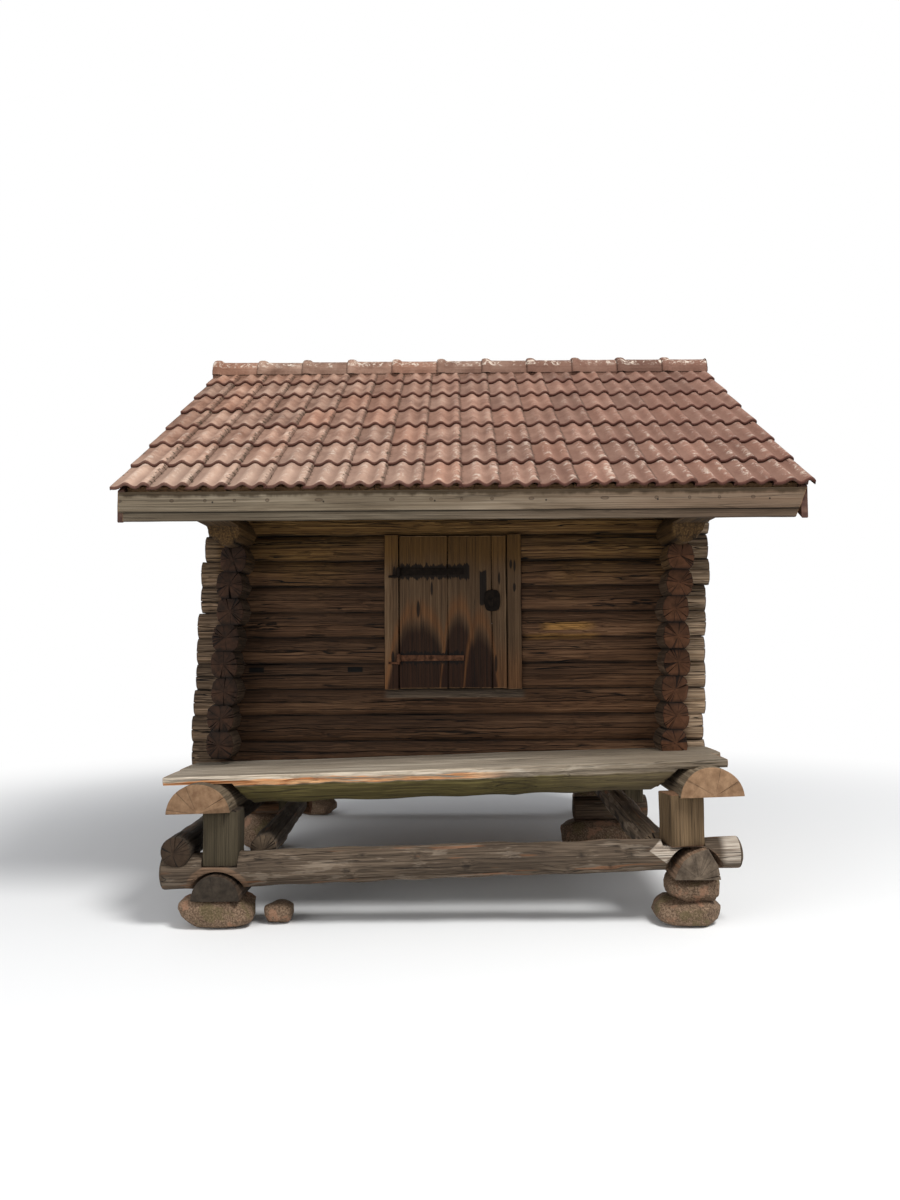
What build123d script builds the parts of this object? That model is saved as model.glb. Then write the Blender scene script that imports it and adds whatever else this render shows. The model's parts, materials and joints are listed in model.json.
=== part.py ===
from build123d import *
from math import cos, pi, radians, sin, sqrt, tan
import os

# Raised log granary: notched log room on posts, open porch of half logs, tiled gable roof.
# Millimetres. X runs along the eaves, Y from the porch to the back, Z up.
# The origin lies on the ground under the middle of the ridge.

# Log room, which leans a little to the right as it rises
course = 155.0
log_width = 160.0
seam_width = 92.0
shoulder_share = 0.30
shoulder_width = 146.0
side_axis = 1310.0
room_shift = -90.0
wall_axis = 1250.0
first_log_lift = 76.0
lean = 0.045
side_ear = 270.0
wall_ear = 219.0
wall_side_courses = 8
base_courses = 3
door_courses = 6
head_courses = 4
contact_gap = 0.3

# Roof
roof_pitch = 30.3
eave_overhang = 820.0
gable_overhang = 450.0
tile_rows = 7
tile_columns = 18
tile_depth = 50.0
tile_wave_depth = 24.0
tile_waves = ((0.04, 0.17), (0.36, 0.45), (0.60, 0.68), (0.83, 0.92))
tile_step = 18.0
deck_depth = 45.0
ridge_tile_r = 115.0
ridge_tile_wall = 15.0
ridge_tile_rise = 44.0
ridge_tile_count = 11
ridge_leg = 25.0
ridge_collar = 30.0
ridge_collar_lip = 8.0
purlin_r = 72.0
purlin_lift = 136.3
eave_purlin_inset = 202.0
purlin_end_gap = 12.0
ridge_beam_r = 80.0
eave_log_r = 92.0
eave_log_past_purlin = 85.0
eave_log_shoulder_gap = 6.0
barge_thick = 35.0
barge_width = 150.0
tile_side_overhang = 33.0
fascia_thick = 28.0
fascia_setback = 20.0
fascia_end_inset = 12.0
fascia_upper = 110.0
fascia_lower = 45.0
fascia_lower_thick = 20.0
fascia_lower_inset = 22.0
fascia_slant = 0.37

# Floor frame and porch, which rise a little to the right
floor_rise = 0.028
porch_top_z = 800.0
porch_depth = 690.0
plank_end_thick = 40.0
plank_depths = (165.0, 195.0)
plank_gap = 4.0
plank_left_reaches = (245.0, 255.0)
plank_right_reaches = (131.0, 186.0)
bearer_offsets = (63.4, 37.4)
bearer_width = 330.0
bearer_height = 150.0
bearer_seat_height = 120.0
bearer_front_reach = 120.0
bearer_back_reach = 160.0
bearer_notch_slack = 3.0
floor_board = 32.0
floor_rebate = 60.0
floor_gap = 2.0

# Posts
post_width = 185.0
post_depth = 165.0
post_insets = (82.0, 118.0)
post_setback = 5.0
post_turns = (0.0, 14.0)
post_web = 37.0
middle_post_width = 140.0
middle_post_outset = 89.0

# Ground logs, and the logs that tie them together
ground_rise = 0.0235
ground_log_reaches = (302.0, 289.0)
front_log_z = 335.0
front_log_rs = (112.0, 84.0)
middle_log_y = -120.0
middle_log_reaches = (272.0, 184.0)
middle_log_z = 252.0
middle_log_r = 86.0
back_log_setback = 50.0
back_log_z = 252.0
back_log_r = 95.0
outer_tie_outset = 192.0
outer_tie_r = 118.0
outer_tie_z = 425.0
outer_tie_reach = 90.0
inner_tie_insets = (178.0, 101.0)
inner_tie_r = 88.0
inner_tie_z = 405.0
inner_tie_setback = 70.0
tie_back_reach = 140.0

# Sleepers and stones under the ground logs
sleeper_outsets = (12.0, 86.0)
sleeper_widths = (262.0, 245.0)
sleeper_heights = (150.0, 158.0)
sleeper_bottoms = (125.0, 242.0)
sleeper_front_reach = 125.0
sleeper_back_reach = 170.0
saddle_bevel = 62.0
stone_shape = (1.0, 0.88, 0.98, 0.9, 1.03, 0.86, 0.95)
stone_corner = 28.0
stone_taper = 7.0
stone_hollow = 8.0
front_stone_width = 350.0
front_stone_depth = 330.0
front_stone_setback = 40.0
front_stone_turns = (0.2, 0.9)
back_stone_width = 390.0
back_stone_depth = 360.0
middle_stone_outsets = (142.0, -126.0)
middle_stone_turns = (0.5, 1.3)
back_stone_turns = (1.8, 2.6)

# Door
door_left = -375.0
door_right = 270.0
door_gap = 7.0
door_bottom_gap = 6.0
door_top_gap = 9.0
door_thick = 34.0
jamb_width = 82.0
jamb_proud = 12.0
jamb_stop = 27.0
stop_gap = 5.0
ledge_thick = 26.0
ledge_width = 95.0
ledge_inset = 42.0
strap_width = 42.0
strap_thick = 5.0
strap_length = 390.0
strap_lifts = (186.0, 714.0)
eye_r = 13.0
eye_stand_off = 2.0
pin_r = 7.0
pin_clearance = 0.06
pin_side_gap = 0.5
pin_tail = 6.0
pintle_arm_length = 62.0
pintle_arm_height = 14.0
lock_x = 190.0
lock_lift = 579.0
lock_width = 62.0
lock_height = 120.0
lock_thick = 4.0
keyhole_r = 6.0
keyhole_slot = 22.0

# Heights and faces of the room, and the doorway in its front wall
first_side_z = porch_top_z + first_log_lift
first_wall_z = first_side_z - course / 2
wall_face = wall_axis + log_width / 2
room_inner = wall_axis - log_width / 2
opening_bottom = first_wall_z + (base_courses - 0.5) * course
opening_top = opening_bottom + door_courses * course
wall_courses = base_courses + door_courses + head_courses
jamb_face_y = -wall_face - jamb_proud
hinge_x = door_left - door_gap / 2
hinge_y = jamb_face_y - eye_r - eye_stand_off

# Roof planes, set by the eave purlins, which lie on the top side logs
pitch_tan = tan(radians(roof_pitch))
pitch_cos = cos(radians(roof_pitch))
pitch_sin = sin(radians(roof_pitch))
eave_reach = wall_face + eave_overhang
roof_half_length = side_axis + log_width / 2 + gable_overhang
fascia_back_y = eave_reach - fascia_setback - fascia_thick
eave_purlin_y = fascia_back_y - eave_purlin_inset
mid_purlin_y = eave_purlin_y / 2
purlin_ys = (-eave_purlin_y, -mid_purlin_y, mid_purlin_y, eave_purlin_y)
eave_log_reach = eave_purlin_y + eave_log_past_purlin
eave_purlin_z = first_side_z + wall_side_courses * course + purlin_lift
under_apex_z = eave_purlin_z + (purlin_r + contact_gap) / pitch_cos + eave_purlin_y * pitch_tan
under_depth = tile_depth + deck_depth
apex_z = under_apex_z + under_depth / pitch_cos
eave_top_z = apex_z - eave_reach * pitch_tan
side_courses = round((under_apex_z - ridge_beam_r - first_side_z) / course) + 1
barge_outer = roof_half_length - tile_side_overhang

# Porch and floor frame
porch_front = wall_face + porch_depth
plank_width = (porch_depth - 2 * plank_gap) / 2
seat_drop = plank_end_thick
bearer_bottom_drop = seat_drop + bearer_seat_height
bearer_radius = (bearer_width**2 / 4 + bearer_height**2) / (2 * bearer_height)
far = 6000.0
left_right = (-1, 1)

os.makedirs("parts", exist_ok=True)
bottom_center = (Align.CENTER, Align.CENTER, Align.MIN)


def save(name, part):
    part.label = name
    export_step(part, f"parts/{name}.step")


def room_x(sign, z, ear=0.0):
    """Axis of a side wall at height z, or the end of a log that passes it by ear."""
    return room_shift + sign * (side_axis + ear) + lean * (z - first_side_z)


def side_z(index):
    return first_side_z + index * course


def wall_z(index):
    return first_wall_z + index * course


def under_roof(y):
    """Height of the underside of the roof boards at a distance y from the ridge."""
    return under_apex_z - abs(y) * pitch_tan


def ground_z(z, x):
    """Height of a ground log axis at x, where z is its height at the middle."""
    return z + ground_rise * x


def floor_plane(drop, x=0.0, y=0.0):
    """Plane of the tilted floor frame, a given drop below the porch top."""
    tilt = Plane(origin=(0, 0, porch_top_z), x_dir=(1, 0, floor_rise), z_dir=(-floor_rise, 0, 1))
    return Plane(
        origin=tilt.from_local_coords((x, y, -drop)), x_dir=tilt.x_dir, z_dir=tilt.z_dir
    )


def floor_section(x, y, drop):
    """Plane across the tilted floor frame, local x along Y and local y up."""
    base = floor_plane(drop, x, y)
    return Plane(origin=base.origin, x_dir=(0, 1, 0), z_dir=base.x_dir)


def floor_end(x, y, drop):
    """Plane facing the porch, local x along the tilted frame and local y up."""
    base = floor_plane(drop, x, y)
    return Plane(origin=base.origin, x_dir=base.x_dir, z_dir=(0, -1, 0))


def cut_below_floor(drop):
    """Take away everything under a plane of the floor frame."""
    split(bisect_by=floor_plane(drop), keep=Keep.TOP)


# Outline of a hewn log, widest half way up, with flat seams where courses meet
half_course = course / 2
shoulder_z = shoulder_share * course
log_outline = (
    (-seam_width / 2, -half_course),
    (seam_width / 2, -half_course),
    (shoulder_width / 2, -shoulder_z),
    (log_width / 2, 0),
    (shoulder_width / 2, shoulder_z),
    (seam_width / 2, half_course),
    (-seam_width / 2, half_course),
    (-shoulder_width / 2, shoulder_z),
    (-log_width / 2, 0),
    (-shoulder_width / 2, -shoulder_z),
)


def wall_log(y, index, left, right):
    """One log of a front or back wall, from left to right."""
    with BuildSketch(Plane.YZ.offset(left)) as end:
        with Locations((y, wall_z(index))):
            Polygon(*log_outline, align=None)
    extrude(end.sketch, amount=right - left)


def side_log(sign, index, front, back):
    """One log of a side wall, from front to back."""
    z = side_z(index)
    with BuildSketch(Plane.XZ.offset(-back)) as end:
        with Locations((room_x(sign, z), z)):
            Polygon(*log_outline, align=None)
    extrude(end.sketch, amount=back - front)


def notch_for_sides(y):
    """Half of each side log's height is let into the logs of a front or back wall."""
    places = [
        (room_x(sign, side_z(index)), y, side_z(index))
        for sign in left_right
        for index in range(side_courses)
    ]
    with Locations(*places):
        Box(log_width, 2 * log_width, course / 2, mode=Mode.SUBTRACT)


def notch_for_walls(sign):
    """Half of each wall log's height is let into the logs of a side wall."""
    places = [
        (room_x(sign, wall_z(index)), y, wall_z(index))
        for y in (-wall_axis, wall_axis)
        for index in range(wall_courses)
    ]
    with Locations(*places):
        Box(2 * log_width, log_width, course / 2, mode=Mode.SUBTRACT)


def keep_under_roof():
    """Trim logs along the underside of the roof boards."""
    low = under_roof(eave_reach)
    with BuildSketch(Plane.YZ.offset(-far / 2)) as section:
        Polygon(
            (-eave_reach, 0),
            (eave_reach, 0),
            (eave_reach, low - contact_gap),
            (0, under_apex_z - contact_gap),
            (-eave_reach, low - contact_gap),
            align=None,
        )
    extrude(section.sketch, amount=far, mode=Mode.INTERSECT)


def purlin_z(y, radius):
    return under_roof(y) - (radius + contact_gap) / pitch_cos


def round_along_x(y, z, radius, left, right, mode=Mode.ADD):
    with BuildSketch(Plane.YZ.offset(left)) as end:
        with Locations((y, z)):
            Circle(radius)
    extrude(end.sketch, amount=right - left, mode=mode)


def cut_purlin_seats():
    for y in purlin_ys:
        z = purlin_z(y, purlin_r)
        round_along_x(y, z, purlin_r + contact_gap, -far / 2, far / 2, Mode.SUBTRACT)
    ridge_z = purlin_z(0, ridge_beam_r)
    seat_r = ridge_beam_r + contact_gap
    round_along_x(0, ridge_z, seat_r, -far / 2, far / 2, Mode.SUBTRACT)
    with Locations((0, 0, ridge_z)):
        Box(far, 2 * seat_r, course, align=bottom_center, mode=Mode.SUBTRACT)


def lies_between(left, right, reaches):
    """Ends of a log that runs past two places by its reaches."""
    return (left - reaches[0], right + reaches[1])


# Places of what carries the room, each measured from the piece above it
bearer_xs = [room_x(sign, porch_top_z) + offset for sign, offset in zip(left_right, bearer_offsets)]
post_xs = [x - sign * inset for sign, x, inset in zip(left_right, bearer_xs, post_insets)]
sleeper_xs = [x + sign * outset for sign, x, outset in zip(left_right, post_xs, sleeper_outsets)]
outer_tie_x = post_xs[0] - outer_tie_outset
inner_tie_xs = [x - sign * inset for sign, x, inset in zip(left_right, post_xs, inner_tie_insets)]
front_log_y = -porch_front
front_post_y = front_log_y + post_setback
front_log_ends = lies_between(*post_xs, ground_log_reaches)
middle_log_ends = lies_between(*post_xs, middle_log_reaches)
back_log_y = wall_axis + back_log_setback
bearer_front = porch_front + bearer_front_reach
bearer_back = back_log_y + bearer_back_reach


# Stones: rough blocks with one flat bed below and one above
def stone(x, y, width, depth, top, turn):
    corners = [
        (
            width / 2 * reach * cos(turn + 2 * pi * number / len(stone_shape)),
            depth / 2 * reach * sin(turn + 2 * pi * number / len(stone_shape)),
        )
        for number, reach in enumerate(stone_shape)
    ]
    with BuildSketch() as foot:
        with Locations((x, y)):
            Polygon(*corners, align=None)
        fillet(foot.vertices(), stone_corner)
    extrude(foot.sketch, amount=top, taper=stone_taper)


with BuildPart() as stones_front:
    for x, top, stone_turn in zip(sleeper_xs, sleeper_bottoms, front_stone_turns):
        y = front_log_y + front_stone_setback
        stone(x, y, front_stone_width, front_stone_depth, top, stone_turn)
save("stones_front", stones_front.part)


def half_log_face(width, height):
    """End of a half log, flat side down, as wide as its chord."""
    radius = (width**2 / 4 + height**2) / (2 * height)
    with Locations((0, height - radius)):
        Circle(radius)
    Rectangle(2 * width, 2 * height, align=(Align.CENTER, Align.MIN), mode=Mode.INTERSECT)


sleepers = list(zip(sleeper_xs, sleeper_widths, sleeper_heights, sleeper_bottoms))

with BuildPart() as sleepers_front:
    for x, width, height, bottom in sleepers:
        with BuildSketch(
            Plane((x, front_log_y + sleeper_back_reach, bottom), (1, 0, 0), (0, -1, 0))
        ):
            half_log_face(width, height)
        extrude(amount=sleeper_back_reach + sleeper_front_reach)
save("sleepers_front", sleepers_front.part)


def log_axis_plane(x, y, z):
    """Plane across a ground log, which rises to the right."""
    return Plane((x, y, ground_z(z, x)), (0, 1, 0), (1, 0, ground_rise))


def front_log_cone(extra, mode):
    """The front ground log, thick at its left end, or the room that it takes up."""
    ends = []
    for x, radius in zip(front_log_ends, front_log_rs):
        with BuildSketch(log_axis_plane(x, front_log_y, front_log_z)) as end:
            Circle(radius + extra)
        ends.append(end.sketch)
    loft(ends, mode=mode)


def round_ground_log(y, z, radius, ends, mode=Mode.ADD):
    with BuildSketch(log_axis_plane(ends[0], y, z)) as end:
        Circle(radius)
    extrude(end.sketch, amount=(ends[1] - ends[0]) * sqrt(1 + ground_rise**2), mode=mode)


def middle_log_bed():
    ends = lies_between(*middle_log_ends, (log_width, log_width))
    bed_r = middle_log_r + contact_gap
    round_ground_log(middle_log_y, middle_log_z, bed_r, ends, Mode.SUBTRACT)


# Stones under the middle and back logs, each hollowed to the log that lies on it
def log_stone(x, y, z, radius, turn):
    top = ground_z(z, x) - radius + stone_hollow
    stone(x, y, back_stone_width, back_stone_depth, top, turn)


with BuildPart() as stones_middle:
    for sign, x, outset, stone_turn in zip(
        left_right, post_xs, middle_stone_outsets, middle_stone_turns
    ):
        log_stone(x + sign * outset, middle_log_y, middle_log_z, middle_log_r, stone_turn)
    middle_log_bed()
save("stones_middle", stones_middle.part)

with BuildPart() as stones_back:
    for x, stone_turn in zip(post_xs, back_stone_turns):
        log_stone(x, back_log_y, back_log_z, back_log_r, stone_turn)
    bed_ends = lies_between(*front_log_ends, (log_width, log_width))
    round_ground_log(back_log_y, back_log_z, back_log_r + contact_gap, bed_ends, Mode.SUBTRACT)
save("stones_back", stones_back.part)

front_seats = [
    bottom + height + post_web
    for bottom, height in zip(sleeper_bottoms, sleeper_heights)
]

# Front ground log: saddled over the sleepers, with a hewn bevel beside each saddle
with BuildPart() as ground_log_front:
    front_log_cone(0, Mode.ADD)
    for x, width, height, bottom in sleepers:
        with BuildSketch(Plane((x, far / 10, bottom), (1, 0, 0), (0, -1, 0))) as bed:
            half_log_face(width + 2 * contact_gap, height + contact_gap)
        extrude(bed.sketch, amount=far, mode=Mode.SUBTRACT)
        with BuildSketch(Plane((x, front_log_y, bottom), (1, 0, 0), (0, -1, 0))) as throat:
            half_log_face(width, height)
        with BuildSketch(
            Plane((x, front_log_y - max(front_log_rs), bottom), (1, 0, 0), (0, -1, 0))
        ) as mouth:
            half_log_face(width + 2 * saddle_bevel, height + saddle_bevel / 2)
        loft([throat.sketch, mouth.sketch], mode=Mode.SUBTRACT)
    for x, seat, turn in zip(post_xs, front_seats, post_turns):
        with Locations(Location((x, front_post_y, seat), (0, 0, turn))):
            Box(
                post_width + 2 * contact_gap,
                post_depth + 2 * contact_gap,
                course,
                align=bottom_center,
                mode=Mode.SUBTRACT,
            )
save("ground_log_front", ground_log_front.part)

middle_post_xs = (
    (outer_tie_x + outer_tie_r + inner_tie_xs[0] - inner_tie_r) / 2,
    post_xs[1] + middle_post_outset,
)
middle_seats = [ground_z(middle_log_z, x) + middle_log_r / 2 for x in middle_post_xs]
back_seats = [ground_z(back_log_z, x) + back_log_r / 2 for x in post_xs]


def cut_post_seats(xs, y, seats, width):
    for x, seat in zip(xs, seats):
        with Locations((x, y, seat)):
            Box(
                width + 2 * contact_gap,
                post_depth + 2 * contact_gap,
                course,
                align=bottom_center,
                mode=Mode.SUBTRACT,
            )


with BuildPart() as ground_log_middle:
    round_ground_log(middle_log_y, middle_log_z, middle_log_r, middle_log_ends)
    cut_post_seats(middle_post_xs, middle_log_y, middle_seats, middle_post_width)
save("ground_log_middle", ground_log_middle.part)

with BuildPart() as ground_log_back:
    round_ground_log(back_log_y, back_log_z, back_log_r, front_log_ends)
    cut_post_seats(post_xs, back_log_y, back_seats, post_width)
save("ground_log_back", ground_log_back.part)


# Tie logs: saddled over the front and middle logs, and hewn flat beside the posts
def tie_log(x, z, radius, front):
    back = middle_log_y + tie_back_reach
    with BuildSketch(Plane.XZ.offset(-back)) as end:
        with Locations((x, z)):
            Circle(radius)
    extrude(end.sketch, amount=back - front)


def saddle_ties():
    front_log_cone(contact_gap, Mode.SUBTRACT)
    middle_log_bed()
    for x, turn in zip(post_xs, post_turns):
        with Locations(Location((x, front_post_y, 0), (0, 0, turn))):
            Box(
                post_width + 2 * contact_gap,
                post_depth + 2 * contact_gap,
                far,
                mode=Mode.SUBTRACT,
            )


with BuildPart() as tie_log_outer:
    tie_log(outer_tie_x, outer_tie_z, outer_tie_r, front_log_y - outer_tie_reach)
    saddle_ties()
save("tie_log_outer", tie_log_outer.part)

with BuildPart() as tie_logs_inner:
    for x in inner_tie_xs:
        tie_log(x, inner_tie_z, inner_tie_r, front_log_y + inner_tie_setback)
    saddle_ties()
save("tie_logs_inner", tie_logs_inner.part)


# Posts: hewn square, let into the logs below and cut off under the bearers
def post(x, y, seat, width, turn=0.0):
    with Locations(Location((x, y, seat), (0, 0, turn))):
        Box(width, post_depth, porch_top_z, align=bottom_center)


with BuildPart() as posts_front:
    for x, seat, turn in zip(post_xs, front_seats, post_turns):
        post(x, front_post_y, seat, post_width, turn)
    split(bisect_by=floor_plane(bearer_bottom_drop), keep=Keep.BOTTOM)
save("posts_front", posts_front.part)

with BuildPart() as posts_middle:
    for x, seat in zip(middle_post_xs, middle_seats):
        post(x, middle_log_y, seat, middle_post_width)
    split(bisect_by=floor_plane(bearer_bottom_drop), keep=Keep.BOTTOM)
save("posts_middle", posts_middle.part)

with BuildPart() as posts_back:
    for x, seat in zip(post_xs, back_seats):
        post(x, back_log_y, seat, post_width)
    split(bisect_by=floor_plane(bearer_bottom_drop), keep=Keep.BOTTOM)
save("posts_back", posts_back.part)


# Bearers: half logs, flat side down, with a flat cut behind the porch edge
def bearer(x):
    with BuildSketch(floor_end(x, bearer_back, bearer_bottom_drop)) as end:
        half_log_face(bearer_width, bearer_height)
    extrude(end.sketch, amount=bearer_back + bearer_front)
    with Locations(floor_plane(seat_drop, x, -porch_front)):
        Box(
            bearer_width,
            far,
            bearer_height,
            align=(Align.CENTER, Align.MIN, Align.MIN),
            mode=Mode.SUBTRACT,
        )


with BuildPart() as bearer_left:
    bearer(bearer_xs[0])
save("bearer_left", bearer_left.part)

with BuildPart() as bearer_right:
    bearer(bearer_xs[1])
save("bearer_right", bearer_right.part)


# Porch planks: half logs, flat side up, cut thin at both ends where they lie on the bearers
def porch_plank(number):
    depth = plank_depths[number]
    middle = -porch_front + plank_width / 2 + number * (plank_width + plank_gap)
    left = bearer_xs[0] - plank_left_reaches[number]
    right = bearer_xs[1] + plank_right_reaches[number]
    length = (right - left) * sqrt(1 + floor_rise**2)
    radius = (plank_width**2 / 4 + depth**2) / (2 * depth)
    with BuildSketch(floor_section(left, middle, 0)) as end:
        with Locations((0, radius - depth)):
            Circle(radius)
        Rectangle(far, far, align=(Align.CENTER, Align.MAX), mode=Mode.INTERSECT)
    extrude(end.sketch, amount=length)
    for x, outward in zip(bearer_xs, (Align.MAX, Align.MIN)):
        with BuildSketch(floor_end(x, middle, bearer_bottom_drop)) as notch:
            with Locations((0, bearer_height - bearer_radius)):
                Circle(bearer_radius + bearer_notch_slack)
            Rectangle(far / 10, far / 10, align=(outward, Align.CENTER))
            with Locations((0, bearer_seat_height)):
                Rectangle(far, far, align=(Align.CENTER, Align.MAX), mode=Mode.INTERSECT)
        extrude(notch.sketch, amount=plank_width, both=True, mode=Mode.SUBTRACT)


with BuildPart() as porch_plank_front:
    porch_plank(0)
save("porch_plank_front", porch_plank_front.part)

with BuildPart() as porch_plank_rear:
    porch_plank(1)
save("porch_plank_rear", porch_plank_rear.part)

# Floor boards of the room, let into the lowest side logs
floor_z = porch_top_z - seat_drop
floor_left = room_x(-1, floor_z) + seam_width / 2 - floor_rebate
floor_right = room_x(1, floor_z) - seam_width / 2 + floor_rebate
floor_depth = 2 * (room_inner - floor_gap)


def floor_slab(side_gap, thickness, mode=Mode.ADD):
    with Locations(floor_plane(seat_drop, floor_left - side_gap, 0)):
        Box(
            floor_right - floor_left + 2 * side_gap,
            floor_depth + 2 * side_gap,
            thickness,
            align=(Align.MIN, Align.CENTER, Align.MIN),
            mode=mode,
        )


with BuildPart() as floor_boards:
    floor_slab(0, floor_board)
save("floor_boards", floor_boards.part)

# Front wall: three courses under the door, six beside it and the rest above it
opening_left = door_left - door_gap - jamb_width
opening_right = door_right + door_gap + jamb_width
front_y = -wall_axis


def whole_wall_log(y, index):
    z = wall_z(index)
    wall_log(y, index, room_x(-1, z, wall_ear), room_x(1, z, wall_ear))


with BuildPart() as front_wall_base:
    for index in range(base_courses):
        whole_wall_log(front_y, index)
    notch_for_sides(front_y)
    cut_below_floor(seat_drop)
save("front_wall_base", front_wall_base.part)

with BuildPart() as front_wall_left:
    for index in range(base_courses, base_courses + door_courses):
        wall_log(front_y, index, room_x(-1, wall_z(index), wall_ear), opening_left)
    notch_for_sides(front_y)
save("front_wall_left", front_wall_left.part)

with BuildPart() as front_wall_right:
    for index in range(base_courses, base_courses + door_courses):
        wall_log(front_y, index, opening_right, room_x(1, wall_z(index), wall_ear))
    notch_for_sides(front_y)
save("front_wall_right", front_wall_right.part)

with BuildPart() as front_wall_head:
    for index in range(base_courses + door_courses, wall_courses):
        whole_wall_log(front_y, index)
    notch_for_sides(front_y)
    keep_under_roof()
save("front_wall_head", front_wall_head.part)

with BuildPart() as back_wall:
    for index in range(wall_courses):
        whole_wall_log(wall_axis, index)
    notch_for_sides(wall_axis)
    cut_below_floor(seat_drop)
    keep_under_roof()
save("back_wall", back_wall.part)

# Side walls: the lowest log is deeper, and its ends stand just clear of the porch
side_end = wall_axis + side_ear


def side_wall(sign):
    for index in range(wall_side_courses):
        side_log(sign, index, -side_end, side_end)
    with Locations((room_x(sign, first_side_z), 0, first_side_z)):
        Box(
            shoulder_width,
            2 * room_inner,
            2 * course,
            align=(Align.CENTER, Align.CENTER, Align.MAX),
        )
    notch_for_walls(sign)
    cut_below_floor(seat_drop)
    with Locations(floor_plane(-plank_gap / 2, 0, -wall_face)):
        Box(far, side_ear, course, align=(Align.CENTER, Align.MAX, Align.MAX), mode=Mode.SUBTRACT)
    floor_slab(floor_gap / 2, floor_board + floor_gap / 2, Mode.SUBTRACT)


with BuildPart() as side_wall_left:
    side_wall(-1)
save("side_wall_left", side_wall_left.part)

with BuildPart() as side_wall_right:
    side_wall(1)
save("side_wall_right", side_wall_right.part)

# Eave logs: the top side logs, left round where they reach out under both eaves
with BuildPart() as eave_logs:
    for sign in left_right:
        side_log(sign, wall_side_courses, -eave_log_reach, eave_log_reach)
        notch_for_walls(sign)
        shoulder = side_end + eave_log_shoulder_gap
        round_z = side_z(wall_side_courses)
        for start in (-shoulder, eave_log_reach):
            with BuildSketch(Plane.XZ.offset(-start)):
                with Locations((room_x(sign, round_z), round_z)):
                    Circle(eave_log_r)
            extrude(amount=eave_log_reach - shoulder)
    cut_purlin_seats()
save("eave_logs", eave_logs.part)


def gable(sign):
    for index in range(wall_side_courses + 1, side_courses):
        side_log(sign, index, -side_end, side_end)
    notch_for_walls(sign)
    keep_under_roof()
    cut_purlin_seats()


with BuildPart() as gable_left:
    gable(-1)
save("gable_left", gable_left.part)

with BuildPart() as gable_right:
    gable(1)
save("gable_right", gable_right.part)

# Purlins and ridge beam
purlin_end = barge_outer - barge_thick - purlin_end_gap

with BuildPart() as purlins:
    for y in purlin_ys:
        round_along_x(y, purlin_z(y, purlin_r), purlin_r, -purlin_end, purlin_end)
save("purlins", purlins.part)

with BuildPart() as ridge_beam:
    round_along_x(0, purlin_z(0, ridge_beam_r), ridge_beam_r, -purlin_end, purlin_end)
save("ridge_beam", ridge_beam.part)


def roof_point(side, along, out):
    """Point of the roof: along the slope from the eave, and out from the tile tops."""
    reach = eave_reach - along * pitch_cos + out * pitch_sin
    return (side * reach, eave_top_z + along * pitch_sin + out * pitch_cos)


def along_at(reach, out):
    return (eave_reach - reach + out * pitch_sin) / pitch_cos


tile_gauge = eave_reach / pitch_cos / tile_rows
tile_cover = 2 * roof_half_length / tile_columns
ridge_drop = tile_step / (1 + tile_step * pitch_tan / tile_gauge)


def tile_section(side, mode=Mode.ADD):
    """Section of the tile layer along its crests, whose rows step down over each other."""
    points = [roof_point(side, along_at(0, -tile_depth), -tile_depth)]
    points.append(roof_point(side, 0, -tile_depth))
    for row in range(tile_rows):
        points.append(roof_point(side, row * tile_gauge, 0))
        if row < tile_rows - 1:
            points.append(roof_point(side, (row + 1) * tile_gauge, -tile_step))
    points.append(roof_point(side, along_at(0, -ridge_drop), -ridge_drop))
    Polygon(*points, align=None, mode=mode)


def wave_section(drop):
    """Section across a row of tiles: each has two troughs, listed first and third, and two crests."""
    edge_depth = tile_wave_depth * (1 - tile_waves[3][1]) / (1 - tile_waves[3][1] + tile_waves[0][0])
    points = [(roof_half_length, -drop - edge_depth), (roof_half_length, -tile_depth)]
    points += [(-roof_half_length, -tile_depth), (-roof_half_length, -drop - edge_depth)]
    for column in range(tile_columns):
        for number, stretch in enumerate(tile_waves):
            depth = 0 if number % 2 else tile_wave_depth
            for share in stretch:
                points.append((tile_cover * (column + share) - roof_half_length, -drop - depth))
    Polygon(*points, align=None)


def row_plane(side, row):
    """Plane across the slope where a row starts, local x along the eave and local y out."""
    return Plane(
        origin=(0, *roof_point(side, row * tile_gauge, 0)),
        x_dir=(1, 0, 0),
        z_dir=(0, -pitch_cos, side * pitch_sin),
    )


def tile_slope(side):
    for row in range(tile_rows):
        with BuildSketch(row_plane(side, row)) as lower_end:
            wave_section(0)
        with BuildSketch(row_plane(side, row + 1)) as upper_end:
            wave_section(tile_step)
        loft([lower_end.sketch, upper_end.sketch], ruled=True)
    split(bisect_by=Plane.XZ, keep=Keep.TOP if side < 0 else Keep.BOTTOM)


def board_slope(side):
    half_length = barge_outer - barge_thick
    with BuildSketch(Plane.YZ.offset(-half_length)) as section:
        Polygon(
            roof_point(side, along_at(fascia_back_y, -tile_depth), -tile_depth),
            roof_point(side, along_at(fascia_back_y, -under_depth), -under_depth),
            roof_point(side, along_at(0, -under_depth), -under_depth),
            roof_point(side, along_at(0, -tile_depth), -tile_depth),
            align=None,
        )
    extrude(section.sketch, amount=2 * half_length)


with BuildPart() as roof_tiles_front:
    tile_slope(-1)
save("roof_tiles_front", roof_tiles_front.part)

with BuildPart() as roof_tiles_back:
    tile_slope(1)
save("roof_tiles_back", roof_tiles_back.part)

with BuildPart() as roof_boards_front:
    board_slope(-1)
save("roof_boards_front", roof_boards_front.part)

with BuildPart() as roof_boards_back:
    board_slope(1)
save("roof_boards_back", roof_boards_back.part)

# Ridge tiles, each with a raised collar over the end of its neighbour
ridge_axis_z = apex_z + ridge_tile_rise - ridge_tile_r
ridge_pitch = 2 * roof_half_length / ridge_tile_count


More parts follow.
